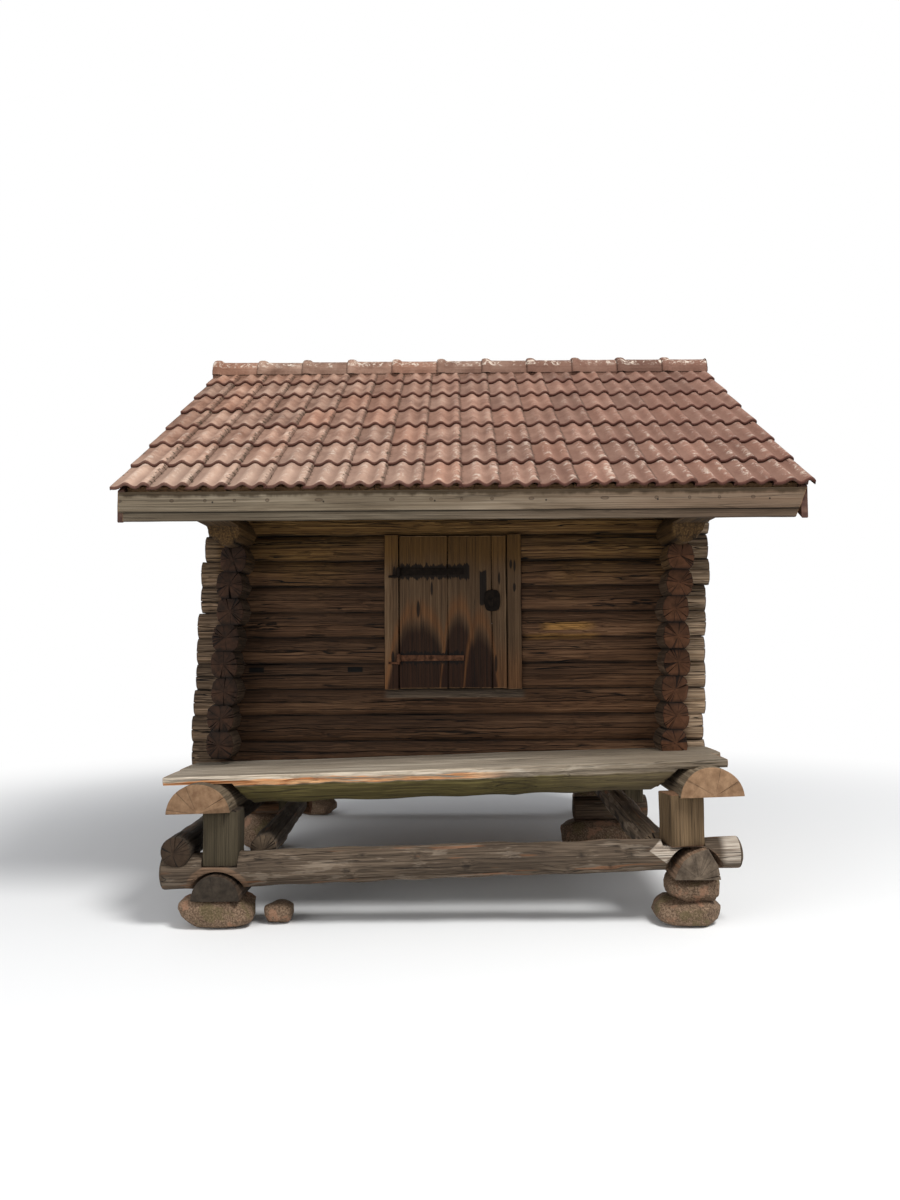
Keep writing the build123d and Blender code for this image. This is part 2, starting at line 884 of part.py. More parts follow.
def ridge_shell(outer, start, length):
    with BuildSketch(Plane.YZ.offset(start)) as section:
        with Locations((0, ridge_axis_z)):
            Circle(outer)
            Circle(ridge_tile_r - ridge_tile_wall, mode=Mode.SUBTRACT)
        with Locations((0, ridge_axis_z - ridge_leg)):
            Rectangle(3 * outer, 2 * outer, align=(Align.CENTER, Align.MAX), mode=Mode.SUBTRACT)
        tile_section(-1, Mode.SUBTRACT)
        tile_section(1, Mode.SUBTRACT)
    extrude(section.sketch, amount=length)


with BuildPart() as ridge_tiles:
    ridge_shell(ridge_tile_r, -roof_half_length, 2 * roof_half_length)
    for number in range(ridge_tile_count):
        collar_start = -roof_half_length + number * ridge_pitch
        ridge_shell(ridge_tile_r + ridge_collar_lip, collar_start, ridge_collar)
save("ridge_tiles", ridge_tiles.part)

# Eave fascias: a broad board under the tile edge and a narrow one below it, cut slanting at the right
fascia_half = barge_outer - fascia_end_inset
fascia_top = roof_point(1, 0, -tile_depth)[1] - contact_gap


def fascia_board(side, left, top, height, thick):
    front = fascia_back_y + thick if side > 0 else -fascia_back_y
    right = fascia_half - fascia_slant * (fascia_top - top)
    with BuildSketch(Plane.XZ.offset(-front)) as face:
        Polygon(
            (left, top),
            (right, top),
            (right - fascia_slant * height, top - height),
            (left, top - height),
            align=None,
        )
    extrude(face.sketch, amount=thick)


def fascia(side):
    fascia_board(side, -fascia_half, fascia_top, fascia_upper, fascia_thick)
    lower_left = -fascia_half + fascia_lower_inset
    fascia_board(side, lower_left, fascia_top - fascia_upper, fascia_lower, fascia_lower_thick)


with BuildPart() as fascia_front:
    fascia(-1)
save("fascia_front", fascia_front.part)

with BuildPart() as fascia_back:
    fascia(1)
save("fascia_back", fascia_back.part)


def barge_board(sign):
    top = [
        roof_point(side, along_at(fascia_back_y, -tile_depth), -tile_depth) for side in left_right
    ]
    peak = apex_z - tile_depth / pitch_cos
    inner = min(sign * barge_outer, sign * (barge_outer - barge_thick))
    with BuildSketch(Plane.YZ.offset(inner)) as section:
        Polygon(
            top[0],
            (0, peak),
            top[1],
            (top[1][0], top[1][1] - barge_width / pitch_cos),
            (0, peak - barge_width / pitch_cos),
            (top[0][0], top[0][1] - barge_width / pitch_cos),
            align=None,
        )
    extrude(section.sketch, amount=barge_thick)


with BuildPart() as barge_boards:
    barge_board(-1)
    barge_board(1)
save("barge_boards", barge_boards.part)

# Door frame: a jamb on each side with a stop behind the leaf
jamb_height = opening_top - opening_bottom - contact_gap
strap_heights = [opening_bottom + lift for lift in strap_lifts]
lock_z = opening_bottom + lock_lift
leaf_back_y = jamb_face_y + door_thick


def jamb(edge, outward):
    """Jamb whose inner edge is at edge; outward is -1 on the hinge side and 1 on the other."""
    outer = edge + outward * jamb_width
    stop = edge - outward * jamb_stop
    stop_y = leaf_back_y + stop_gap
    with BuildSketch(Plane.XY.offset(opening_bottom)) as section:
        Polygon(
            (outer, jamb_face_y),
            (edge, jamb_face_y),
            (edge, stop_y),
            (stop, stop_y),
            (stop, -room_inner),
            (outer, -room_inner),
            align=None,
        )
    extrude(section.sketch, amount=jamb_height)


with BuildPart() as door_jambs:
    jamb(door_left - door_gap, -1)
    jamb(door_right + door_gap, 1)
save("door_jambs", door_jambs.part)

# Door leaf with two ledges nailed across its back
leaf_bottom = opening_bottom + door_bottom_gap
leaf_height = opening_top - door_top_gap - leaf_bottom
door_middle = (door_left + door_right) / 2

with BuildPart() as door_leaf:
    with Locations((door_middle, jamb_face_y, leaf_bottom)):
        Box(
            door_right - door_left,
            door_thick,
            leaf_height,
            align=(Align.CENTER, Align.MIN, Align.MIN),
        )
    with Locations(*[(door_middle, leaf_back_y, z) for z in strap_heights]):
        Box(
            door_right - door_left - 2 * ledge_inset,
            ledge_thick,
            ledge_width,
            align=(Align.CENTER, Align.MIN, Align.CENTER),
        )
save("door_leaf", door_leaf.part)

# Strap hinges on the leaf, whose eyes turn on pins that stand on arms driven into the jamb
with BuildPart() as door_straps:
    for z in strap_heights:
        with Locations((hinge_x, jamb_face_y, z)):
            Box(
                strap_length,
                strap_thick,
                strap_width,
                align=(Align.MIN, Align.MAX, Align.CENTER),
            )
        with Locations((hinge_x, hinge_y, z)):
            Cylinder(eye_r, strap_width)
    with Locations(*[(hinge_x, hinge_y, z) for z in strap_heights]):
        Cylinder(pin_r + pin_clearance, strap_width, mode=Mode.SUBTRACT)
save("door_straps", door_straps.part)

with BuildPart() as door_pintles:
    for z in strap_heights:
        arm_top = z - strap_width / 2 - pin_side_gap
        with Locations((hinge_x, jamb_face_y, arm_top)):
            Box(
                pintle_arm_length,
                jamb_face_y - hinge_y + pin_r,
                pintle_arm_height,
                align=(Align.MAX, Align.MAX, Align.MAX),
            )
        with Locations((hinge_x, hinge_y, arm_top - pintle_arm_height)):
            Cylinder(
                pin_r,
                pintle_arm_height + strap_width + pin_side_gap + pin_tail,
                align=(Align.CENTER, Align.CENTER, Align.MIN),
            )
save("door_pintles", door_pintles.part)

with BuildPart() as door_lock_plate:
    with BuildSketch(Plane.XZ.offset(-jamb_face_y)):
        with Locations((lock_x, lock_z)):
            Rectangle(lock_width, lock_height)
            Circle(keyhole_r, mode=Mode.SUBTRACT)
            Rectangle(keyhole_r, keyhole_slot, align=(Align.CENTER, Align.MAX), mode=Mode.SUBTRACT)
    extrude(amount=lock_thick)
save("door_lock_plate", door_lock_plate.part)
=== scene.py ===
import json
import math
import random

import bpy
import numpy as np
from mathutils import Matrix, Vector


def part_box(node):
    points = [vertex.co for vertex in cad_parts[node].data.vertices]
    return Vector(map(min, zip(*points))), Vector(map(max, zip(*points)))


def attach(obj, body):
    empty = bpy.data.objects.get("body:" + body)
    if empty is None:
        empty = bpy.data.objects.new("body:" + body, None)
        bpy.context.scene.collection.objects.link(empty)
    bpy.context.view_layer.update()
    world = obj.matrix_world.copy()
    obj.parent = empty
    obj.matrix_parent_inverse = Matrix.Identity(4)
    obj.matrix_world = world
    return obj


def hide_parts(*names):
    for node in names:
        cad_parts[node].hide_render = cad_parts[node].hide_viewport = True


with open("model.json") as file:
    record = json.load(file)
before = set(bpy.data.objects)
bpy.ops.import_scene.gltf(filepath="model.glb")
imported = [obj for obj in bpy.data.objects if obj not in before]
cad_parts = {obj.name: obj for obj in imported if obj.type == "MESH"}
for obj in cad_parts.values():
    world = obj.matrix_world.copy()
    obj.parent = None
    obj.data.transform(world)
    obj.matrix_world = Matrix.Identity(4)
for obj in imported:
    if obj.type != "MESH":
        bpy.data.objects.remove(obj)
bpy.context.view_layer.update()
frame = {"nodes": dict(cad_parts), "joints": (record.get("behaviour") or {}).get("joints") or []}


def solid_box(node, sign):
    """Corners of what a CAD node has left (-1) or right (1) of the middle."""
    points = np.array([vertex.co for vertex in frame["nodes"][node].data.vertices])
    points = points[points[:, 0] * sign > 0]
    return Vector(points.min(0)), Vector(points.max(0))


# The two long sides, as sign in y and name
front_side, back_side = (-1, "front"), (1, "back")

# Main sizes in metres, most of them read from the frame
wall_low, wall_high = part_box("front_wall_left")
base_courses, door_courses, wall_courses = 3, 6, 13
wall_side_courses, side_courses = 8, 18
course = (wall_high.z - wall_low.z) / door_courses
first_wall_z = wall_low.z - (base_courses - 0.5) * course
first_side_z = first_wall_z + course / 2
log_width = wall_high.y - wall_low.y
wall_y = (wall_low.y + wall_high.y) / 2
opening_left = wall_high.x
opening_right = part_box("front_wall_right")[0].x
left_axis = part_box("side_wall_left")[0].x + log_width / 2
right_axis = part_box("side_wall_right")[0].x + log_width / 2
side_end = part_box("side_wall_left")[1].y
wall_ear = 0.219
lean = 0.045
tiles_low, tiles_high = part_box("roof_tiles_front")
roof_half = tiles_high.x - 0.001
eave_y = -tiles_low.y
pitch = math.radians(30.3)
tile_depth, deck_depth, tile_step = 0.050, 0.045, 0.018
tile_rows, tile_columns, ridge_tile_count = 7, 18, 11
tile_cover = 2 * roof_half / tile_columns
apex_z = tiles_low.z + tile_depth * math.cos(pitch) + eave_y * math.tan(pitch)
under_apex_z = apex_z - (tile_depth + deck_depth) / math.cos(pitch)
slope_length = eave_y / math.cos(pitch)
tile_gauge = slope_length / tile_rows
floor_rise = 0.028
porch_top_z = 0.800


def side_axis(sign, z):
    """Middle of a side wall at a height: the room leans a little to the right."""
    return (left_axis if sign < 0 else right_axis) + lean * (z - first_side_z)


def under_roof(y):
    return under_apex_z - abs(y) * math.tan(pitch)


# Shader building

class Wire:
    """What one node gives out. Adding, subtracting and multiplying make new nodes."""

    def __init__(self, shader, socket):
        self.shader, self.socket = shader, socket

    def __add__(self, other):
        return self.shader.math("ADD", self, other)

    def __sub__(self, other):
        return self.shader.math("SUBTRACT", self, other)

    def __rsub__(self, other):
        return self.shader.math("SUBTRACT", other, self)

    def __mul__(self, other):
        return self.shader.math("MULTIPLY", self, other)

    def __abs__(self):
        return self.shader.math("ABSOLUTE", self)

    __radd__ = __add__
    __rmul__ = __mul__


class Graph:
    """Node tree of a material or of the world."""

    def __init__(self, owner):
        owner.use_nodes = True
        self.tree = owner.node_tree

    def node(self, kind, inputs, output=0, **settings):
        """Makes a node, joins or sets its inputs and gives one output."""
        made = self.tree.nodes.new("ShaderNode" + kind)
        for key, value in settings.items():
            setattr(made, key, value)
        for key, value in inputs.items():
            if isinstance(value, Wire):
                self.tree.links.new(value.socket, made.inputs[key])
            else:
                made.inputs[key].default_value = value
        return Wire(self, made.outputs[output])

    def math(self, operation, a, b=0.0):
        return self.node("Math", {0: a, 1: b}, operation=operation)

    def larger(self, a, b):
        return self.math("MAXIMUM", a, b)

    def whiten(self, surface, share, output):
        """Ends in a surface that the camera and mirrors see as white, by a share."""
        rays = ("Is Camera Ray", "Is Glossy Ray")
        seen = self.larger(*(self.node("LightPath", {}, ray) for ray in rays))
        white = self.node("Emission", {"Color": (1, 1, 1, 1), "Strength": 1.0})
        blend = self.node("MixShader", {0: seen * share, 1: Wire(self, surface.outputs[0]), 2: white})
        self.tree.links.new(blend.socket, self.tree.nodes[output].inputs["Surface"])


class Shader(Graph):
    """One material, built node by node, with the colour that it has so far."""

    def __init__(self, name, roughness=0.85, shine=0.22):
        self.material = bpy.data.materials.new(name)
        super().__init__(self.material)
        self.surface = self.tree.nodes["Principled BSDF"]
        self.surface.inputs["Roughness"].default_value = roughness
        self.surface.inputs["Specular IOR Level"].default_value = shine
        self.colour = None
        self.normal = None

    def attribute(self, name):
        return self.node("Attribute", {}, "Vector", attribute_name=name)

    def place(self):
        return self.node("TexCoord", {}, "Object")

    def parts(self, vector):
        split = self.node("SeparateXYZ", {0: vector})
        return [Wire(self, socket) for socket in split.socket.node.outputs]

    def vector(self, x=0.0, y=0.0, z=0.0):
        return self.node("CombineXYZ", {0: x, 1: y, 2: z})

    def length(self, x=0.0, y=0.0, z=0.0):
        return self.node("VectorMath", {0: self.vector(x, y, z)}, "Value", operation="LENGTH")

    def scaled(self, vector, x, y, z):
        return self.node("VectorMath", {0: vector, 1: (x, y, z)}, operation="MULTIPLY")

    def noise(self, vector, scale=1.0, detail=3.0, rough=0.55, bend=0.0):
        inputs = {"Vector": vector, "Scale": scale, "Detail": detail, "Roughness": rough, "Distortion": bend}
        return self.node("TexNoise", inputs, "Fac")

    def steps(self, value, low, high):
        """Smooth rise from 0 at low to 1 at high."""
        inputs = {"Value": value, "From Min": low, "From Max": high}
        return self.node("MapRange", inputs, "Result", interpolation_type="SMOOTHSTEP")

    def band(self, value, low, high, soft):
        """1 between low and high, 0 outside, with soft edges."""
        return self.steps(value, low - soft, low + soft) * (1.0 - self.steps(value, high - soft, high + soft))

    def line(self, value, middle, half):
        """1 on a thin line where a value crosses its middle, 0 beside it."""
        return 1.0 - self.steps(abs(value - middle), 0.0, half)

    def ramp(self, value, *stops):
        """Colours, given as sRGB from 0 to 255, at their places along a value."""
        made = self.node("ValToRGB", {0: value})
        elements = made.socket.node.color_ramp.elements
        while len(elements) < len(stops):
            elements.new(0.5)
        for element, (position, colour) in zip(elements, stops):
            element.position = position
            element.color = linear(colour)
        return made

    def blend(self, value, dark, light, spread=0.14):
        """From dark to light as a value rises through its middle, 0.5."""
        return self.ramp(value, (0.5 - spread, dark), (0.5 + spread, light))

    def cover(self, share, colour):
        """Lays a share of another colour over the one so far."""
        if not isinstance(colour, Wire):
            colour = linear(colour)
        self.colour = self.node("Mix", {0: share, 6: self.colour, 7: colour}, 2, data_type="RGBA")

    def shade(self, factor):
        """Multiplies the colour so far."""
        self.colour = self.node("VectorMath", {0: self.colour, "Scale": factor}, operation="SCALE")

    def bump(self, height, distance):
        inputs = {"Height": height, "Distance": distance}
        if self.normal:
            inputs["Normal"] = self.normal
        self.normal = self.node("Bump", inputs)

    def done(self):
        self.tree.links.new(self.colour.socket, self.surface.inputs["Base Color"])
        self.tree.links.new(self.normal.socket, self.surface.inputs["Normal"])
        return self.material


def linear(colour):
    """Linear colour, with full alpha, of an sRGB one given from 0 to 255."""
    shares = [value / 255 for value in colour]
    return (*(v / 12.92 if v <= 0.04045 else ((v + 0.055) / 1.055) ** 2.4 for v in shares), 1.0)


def darker(colour, factor):
    return tuple(factor * value for value in colour)


# Colours that all the woods share, and how far dirt with painted shade, and the painted shade of checks and
# cracks, cover the wood
fresh_wood, fresh_end = (176, 112, 60), (176, 108, 60)
dirt_and_shade_colour, check_shade_colour, crack_shade_colour = (17, 13, 10), (16, 12, 9), (12, 9, 7)
dirt_and_shade_cover, check_shade_cover, crack_shade_cover = 0.92, 0.85, 0.90


def wood(name, dark, middle, light, streak=75, checks=1.0, contrast=0.10, marks=None):
    """Old wood, streaked along its grain, its checks painted dark as shade in the cracks. The tint attribute
    holds tone, fresh wood, and dirt with painted shade.
    """
    s = Shader(name)
    grain = s.attribute("grain")
    tone, new_wood, dirt_and_shade = s.parts(s.attribute("tint"))
    fibre = s.noise(s.scaled(grain, 8, 320, 320), detail=2)
    streaks = s.noise(s.scaled(grain, 1.0, streak, streak), detail=4, rough=0.6)
    broad = s.noise(s.scaled(grain, 1.1, 9, 9))
    value = 0.6 * streaks + 0.4 * broad
    s.colour = s.ramp(value, (0.5 - contrast, dark), (0.5, middle), (0.5 + contrast, light))
    s.cover(new_wood, s.blend(value, darker(fresh_wood, 0.6), fresh_wood, contrast))
    wander = s.noise(s.scaled(grain, 0.55, 24, 24), rough=0.45)
    where = s.steps(s.noise(s.scaled(grain, 1.6, 9, 9), detail=1), 0.42, 0.52)
    hair = s.line(s.noise(s.scaled(grain, 1.2, 90, 90), detail=2), 0.5, 0.035)
    check = s.larger(s.line(wander, 0.5, 0.015) * where, 0.35 * hair) * checks
    if marks:
        marks(s, streaks)
    s.shade(0.80 + 0.40 * fibre)
    s.shade(0.5 + tone)
    # Painted shade: checks are darkened as if shade lay in the cracks
    s.cover(check_shade_cover * check, check_shade_colour)
    # Third tint channel: dirt and knots, and painted shade in seams, on upper faces, in checks and in the
    # saddles
    s.cover(dirt_and_shade_cover * dirt_and_shade, dirt_and_shade_colour)
    s.bump(fibre, 0.0010)
    s.bump(streaks, 0.0025)
    s.bump(check, -0.005)
    return s.done()


def end_wood(name, dark, light, cracks=1.0, rings=0.10, pores=0.3):
    """Weathered end grain with faint year rings and a few cracks, painted dark as shade, that run out from
    the heart.
    """
    s = Shader(name, 0.9)
    grain = s.attribute("grain")
    tone, new_wood, dirt_and_shade = s.parts(s.attribute("tint"))
    along, across, over = s.parts(grain)
    swirl = s.noise(grain, scale=14.0, detail=2)
    reach = s.length(0.0, across, over)
    ring = s.math("SINE", (reach + 0.02 * swirl) * 1300.0)
    mottle = s.noise(grain, scale=24.0, detail=4, rough=0.6)
    fibre = s.noise(grain, scale=260.0, detail=2)
    s.colour = s.blend(mottle, dark, light, 0.16)
    s.cover(new_wood, fresh_end)
    s.shade(1.0 + rings * ring)
    s.shade(1.0 - pores + 2 * pores * fibre)
    s.shade(0.5 + tone)
    angle = s.math("ARCTAN2", over, across)
    around = s.vector(s.math("COSINE", angle), s.math("SINE", angle), along)
    rays = s.noise(around, scale=1.25, detail=1)
    crack = s.line(rays, 0.5, 0.016) * s.steps(reach, 0.004, 0.020) * cracks
    # Painted shade: cracks are darkened as if shade lay in them
    s.cover(crack_shade_cover * crack, crack_shade_colour)
    # Third tint channel: dirt, and painted shade where a piece sets it
    s.cover(dirt_and_shade_cover * dirt_and_shade, dirt_and_shade_colour)
    s.bump(ring, 0.0004)
    s.bump(mottle, 0.002)
    s.bump(crack, -0.006)
    return s.done()


# Marks on the wood, at their places in metres, most as low x, high x, low z and high z

fresh_patches = ((0.50, 0.77, 1.556, 1.600), (0.40, 0.80, 1.499, 1.529))
# The peg holes are painted nearly black: painted shade in the holes
peg_holes = ((-1.285, -1.195, 1.290, 1.322), (-0.689, -0.599, 1.290, 1.322))
sill_mark = (-0.46, 0.37, 1.135, 1.195)
# The lip is painted light on the lower face of the head log over the door
lip_highlight = (-0.37, 0.32, 2.084, 2.112)
split_colour = (150, 110, 58)


def patch(s, x, z, box, soft_x, soft_z):
    """1 inside an upright box of the front, 0 outside."""
    low_x, high_x, low_z, high_z = box
    return s.band(x, low_x, high_x, soft_x) * s.band(z, low_z, high_z, soft_z)


def eave_warmth(s, streaks):
    """Wood under the eaves has kept a warmer colour."""
    place = s.place()
    z = s.parts(place)[2]
    warm = s.ramp(streaks, (0.36, (74, 50, 24)), (0.5, (104, 76, 40)), (0.64, (132, 100, 58)))
    s.cover(s.steps(z + 0.7 * s.noise(place, scale=1.6), 2.10, 2.50), warm)


def wall_marks(s, streaks):
    """Pale sill, painted light on the lip over the door, fresh splits and peg holes of the front wall, the
    holes painted dark as shade, painted sunlight on its log ends, and brighter towards its lower right.
    """
    eave_warmth(s, streaks)
    place = s.place()
    x, y, z = s.parts(place)
    front = s.steps(y, -1.20, -1.27)
    # Painted sunlight on the log ends, weaker at the left
    sunlit_ends = s.larger(0.55 * s.steps(x, -1.44, -1.50), s.steps(x, 1.31, 1.37))
    s.cover(0.85 * sunlit_ends, s.blend(streaks, (112, 92, 70), (178, 154, 128), 0.12))
    ragged = z + 0.03 * s.noise(s.scaled(place, 5, 5, 70))
    for box in fresh_patches:
        s.cover(0.75 * patch(s, x, ragged, box, 0.06, 0.008) * front, split_colour)
    # Painted light: brighter towards the right and the bottom, where reflected sunlight falls
    s.shade(0.95 + 0.85 * s.steps(x, -0.3, 1.1) * s.steps(z, 2.0, 1.1))
    # The sill is pale wood; the lip strip is painted light
    for box, pale in ((sill_mark, (118, 104, 88)), (lip_highlight, (122, 96, 56))):
        strip = 0.8 * patch(s, x, z, box, 0.02, 0.006) * front
        s.cover(strip, s.blend(streaks, darker(pale, 0.7), pale, 0.10))
    # Painted shade: the peg holes are painted nearly black
    for box in peg_holes:
        s.cover(patch(s, x, z, box, 0.004, 0.004) * front, (6, 5, 4))


def plank_marks(s, streaks):
    """An orange split and a painted highlight along the left of the front edge, and an olive underside."""
    place = s.place()
    x, y, z = s.parts(place)
    wave = s.noise(s.vector(3.5 * x), detail=4)
    level = floor_rise * x + porch_top_z - z + 0.045 * (wave - 0.5)
    s.cover(s.steps(level, 0.048, 0.062), s.blend(streaks, (58, 50, 24), (92, 82, 46), 0.12))
    s.cover(0.55 * s.steps(x, 0.1, 1.2), (104, 90, 72))
    # Painted highlight: a pale sheen along the top of the front edge, on the left
    rim = s.band(level, -0.002, 0.024, 0.003) * s.steps(y, -2.000, -2.014) * s.steps(x, 0.7, -0.3)
    s.cover(0.65 * rim, s.blend(streaks, (166, 148, 124), (230, 216, 196)))
    split = s.band(level, 0.022, 0.052, 0.003) * s.steps(x, 0.30, -0.05)
    patchy = s.steps(s.noise(s.scaled(place, 2.5, 20, 40)), 0.36, 0.46)
    s.cover(split * patchy, s.blend(streaks, (174, 110, 66), (228, 178, 130), 0.12))


# Where wood was hewn round the saddles: middle in x, foot in z, inner and outer reach
saddle_flares = ((-1.2715, 0.150, 0.135, 0.200), (1.1855, 0.262, 0.120, 0.172))
hewn_x, hewn_z = 1.045, 0.385


def ground_marks(s, streaks):
    """Pale patches where the bark came off, hewn ones beside the saddles, and painted sunlight on the right
    end.
    """
    place = s.place()
    grain = s.attribute("grain")
    x, y, z = s.parts(place)
    worn = s.steps(s.noise(s.scaled(grain, 3.5, 16, 16), detail=4, rough=0.65), 0.56, 0.62)
    s.cover(0.38 * worn, (140, 126, 110))
    ruddy = s.steps(s.noise(s.scaled(grain, 2.0, 24, 24), detail=2), 0.62, 0.68)
    s.cover(0.5 * ruddy, (142, 92, 58))
    for middle_x, foot_z, inner, outer in saddle_flares:
        edge = s.length(abs(x - middle_x), 0.0, abs(z - foot_z)) + 0.05 * s.noise(place, scale=9)
        flare = s.band(edge, inner, outer, 0.006) * s.steps(y, -1.93, -1.98)
        s.cover(0.6 * flare, s.blend(streaks, (96, 74, 56), (140, 110, 86)))
    spread = 11.0 * abs(x - hewn_x) + 15.0 * abs(z - hewn_z)
    hewn = s.steps(spread, 1.08, 0.96) * s.steps(y, -2.03, -2.07)
    pale = s.blend(streaks, (146, 130, 114), (200, 188, 172), 0.12)
    s.cover(0.8 * hewn, pale)
    # Painted sunlight: the right end of the log is made pale
    sunlit_end = s.steps(x, 1.31, 1.36) * s.steps(z - floor_rise * x, 0.265, 0.290)
    s.cover(0.85 * sunlit_end * s.steps(y, -1.80, -1.85), pale)


# Heights on the fascia, the painted shadow line at the joint as low and high
fascia_knot_z, fascia_nail_z = 2.206, 2.197
fascia_joint = (2.1435, 2.1480)


def fascia_marks(s, streaks):
    """A dark band along the top under the tiles, redder wood to the right, knots, nail holes painted dark as
    shade, and a painted shadow line at the joint.
    """
    place = s.place()
    x, _, z = s.parts(place)
    s.cover(0.50 * s.steps(x, -0.8, 1.7), (104, 76, 58))
    drip = s.noise(s.vector(14.0 * x, 0.0, 3.0 * z), detail=4)
    s.cover(0.9 * s.steps(z + 0.06 * drip, 2.250, 2.272), (50, 38, 22))
    knot_x = s.math("PINGPONG", x + 0.10 * s.math("SINE", 5.0 * x), 0.115)
    knot = s.length(knot_x, 0.0, 1.4 * (z - fascia_knot_z))
    s.cover(0.55 * s.band(knot, 0.0, 0.011, 0.003), (72, 54, 40))
    s.cover(0.6 * s.band(knot, 0.009, 0.013, 0.002), (40, 32, 26))
    damp = s.steps(s.noise(s.scaled(place, 2.2, 2, 14), detail=4), 0.50, 0.62)
    s.cover(0.35 * damp, (74, 60, 44))
    # Painted shade: dark dots in the nail holes
    nail = s.length(s.math("PINGPONG", x + 0.14, 0.29), 0.0, abs(z - fascia_nail_z))
    s.cover(0.9 * s.steps(nail, 0.006, 0.004), (26, 22, 18))
    # Painted shadow line along the joint between the two boards
    s.cover(0.9 * s.band(z, *fascia_joint, 0.001), (24, 20, 15))


# Iron stains of the door: low x, high x, middle z and half height
strap_stains = ((-0.372, 0.048, 1.892, 0.034), (-0.372, 0.010, 1.374, 0.026))
bolt_stain = (0.108, 0.150, 1.715, 1.920)
# Rot that rises up the boards in arches: middle, half width and top
rot_domes = ((-0.262, 0.150, 1.500), (-0.015, 0.085, 1.530), (0.115, 0.085, 1.440))
# Stains round nails: x, z, half width and half height
door_spots = (
    (-0.405, 1.888, 0.012, 0.045), (-0.415, 1.372, 0.012, 0.055), (0.297, 1.935, 0.010, 0.035),
    (0.320, 1.925, 0.008, 0.045), (0.318, 1.795, 0.010, 0.030), (0.226, 1.850, 0.009, 0.045),
    (0.204, 1.335, 0.010, 0.065), (-0.262, 1.668, 0.012, 0.060), (-0.180, 1.790, 0.009, 0.055),
)


def door_marks(s, streaks):
    """Iron stains round the straps and nails, and rot that rises from the foot of the door."""
    x, y, z = s.parts(s.place())
    wide = s.noise(s.vector(6.5 * x, 0.0, 1.2 * z), detail=2)
    drip = s.noise(s.vector(45.0 * x, 0.0, 3.0 * z), detail=5, rough=0.7)
    s.cover(s.steps(z + 0.2 * wide, 1.94, 2.14), s.blend(streaks, (66, 45, 20), (98, 70, 34), 0.16))
    ruddy = s.blend(streaks, (84, 52, 28), (122, 80, 46), 0.16)
    rotten = s.blend(streaks, (22, 11, 6), (44, 23, 12), 0.16)
    s.cover(0.5 * s.steps(z + 0.4 * wide, 1.72, 1.35), ruddy)
    for middle_x, half_x, top_z in rot_domes:
        arch = s.math("POWER", abs(x - middle_x) * (1 / half_x), 3.0)
        below = top_z + 0.10 * (drip + 1.6 * wide) - z - 0.20 * arch
        s.cover(0.7 * s.band(below, -0.07, 0.02, 0.06), ruddy)
        s.cover(0.93 * s.steps(below, -0.01, 0.12), rotten)
    front = s.steps(y, -1.318, -1.328)
    for low_x, high_x, middle_z, half_z in strap_stains:
        reach = abs(z - middle_z) - (half_z - 0.050 + 0.110 * drip)
        s.cover(0.93 * s.steps(reach, 0.008, 0.0) * s.band(x, low_x, high_x, 0.004) * front, (18, 13, 10))
    s.cover(0.93 * patch(s, x, z + 0.05 * drip, bolt_stain, 0.004, 0.006) * front, (16, 12, 10))
    for spot_x, spot_z, half_x, half_z in door_spots:
        size = s.length((x - spot_x) * (1 / half_x), (z - spot_z) * (1 / half_z)) + 0.9 * drip
        s.cover(0.9 * s.steps(size, 1.45, 1.10) * front, (20, 14, 10))


# Materials of the object

def clay_material():
    """Weathered clay: pale crests with lichen, dark troughs, joints darkened with painted shade and moss,
    painted shade along each lower edge, browner to the right.
    """
    s = Shader("clay tile", 0.9)
    place = s.place()
    x, _, z = s.parts(place)
    across, along, crest_height = s.parts(s.attribute("grain"))
    tone, warmth, _ = s.parts(s.attribute("tint"))
    broad = s.noise(place, scale=7, detail=5, rough=0.6)
    speckle = s.noise(place, scale=85)
    s.colour = s.ramp(broad, (0.36, (118, 90, 75)), (0.50, (150, 119, 101)), (0.64, (172, 142, 123)))
    s.cover(0.35 * warmth, (160, 104, 76))
    s.cover(0.80 * s.steps(x, -1.9, 1.7), (112, 79, 67))
    s.shade(0.72 + 0.56 * speckle)
    s.shade(0.40 + 1.2 * tone)
    crest = s.steps(crest_height, -0.016, -0.002)
    lichen_rows = s.larger(0.25 + 0.65 * s.steps(z, 3.0, 2.4), 1.4 * s.steps(z, 3.52, 3.55))
    curls = s.noise(place, scale=17, detail=8, rough=0.75, bend=1.2)
    s.cover(0.62 * (s.steps(curls, 0.51, 0.60) * crest * lichen_rows), (206, 192, 176))
    s.cover(0.55 * s.steps(x, 0.6, -1.6) * s.steps(z, 2.75, 2.30), (196, 168, 148))
    s.cover(0.40 * s.steps(crest_height, -0.010, -0.026), (96, 70, 58))
    from_middle = abs(across - 0.0985)
    # Painted shade along the joints between the tiles
    s.cover(0.55 * s.steps(from_middle, 0.092, 0.103), (58, 42, 34))
    moss = s.steps(s.noise(place, scale=38, detail=2), 0.56, 0.60) * s.steps(from_middle, 0.080, 0.096)
    s.cover(0.85 * moss, (52, 40, 24))
    # Painted shade along the thick lower edge of each tile, where it steps over the next row
    s.cover(0.85 * s.steps(along, 0.012, 0.006), (78, 46, 38))
    s.bump(broad, 0.002)
    s.bump(speckle, 0.0015)
    return s.done()


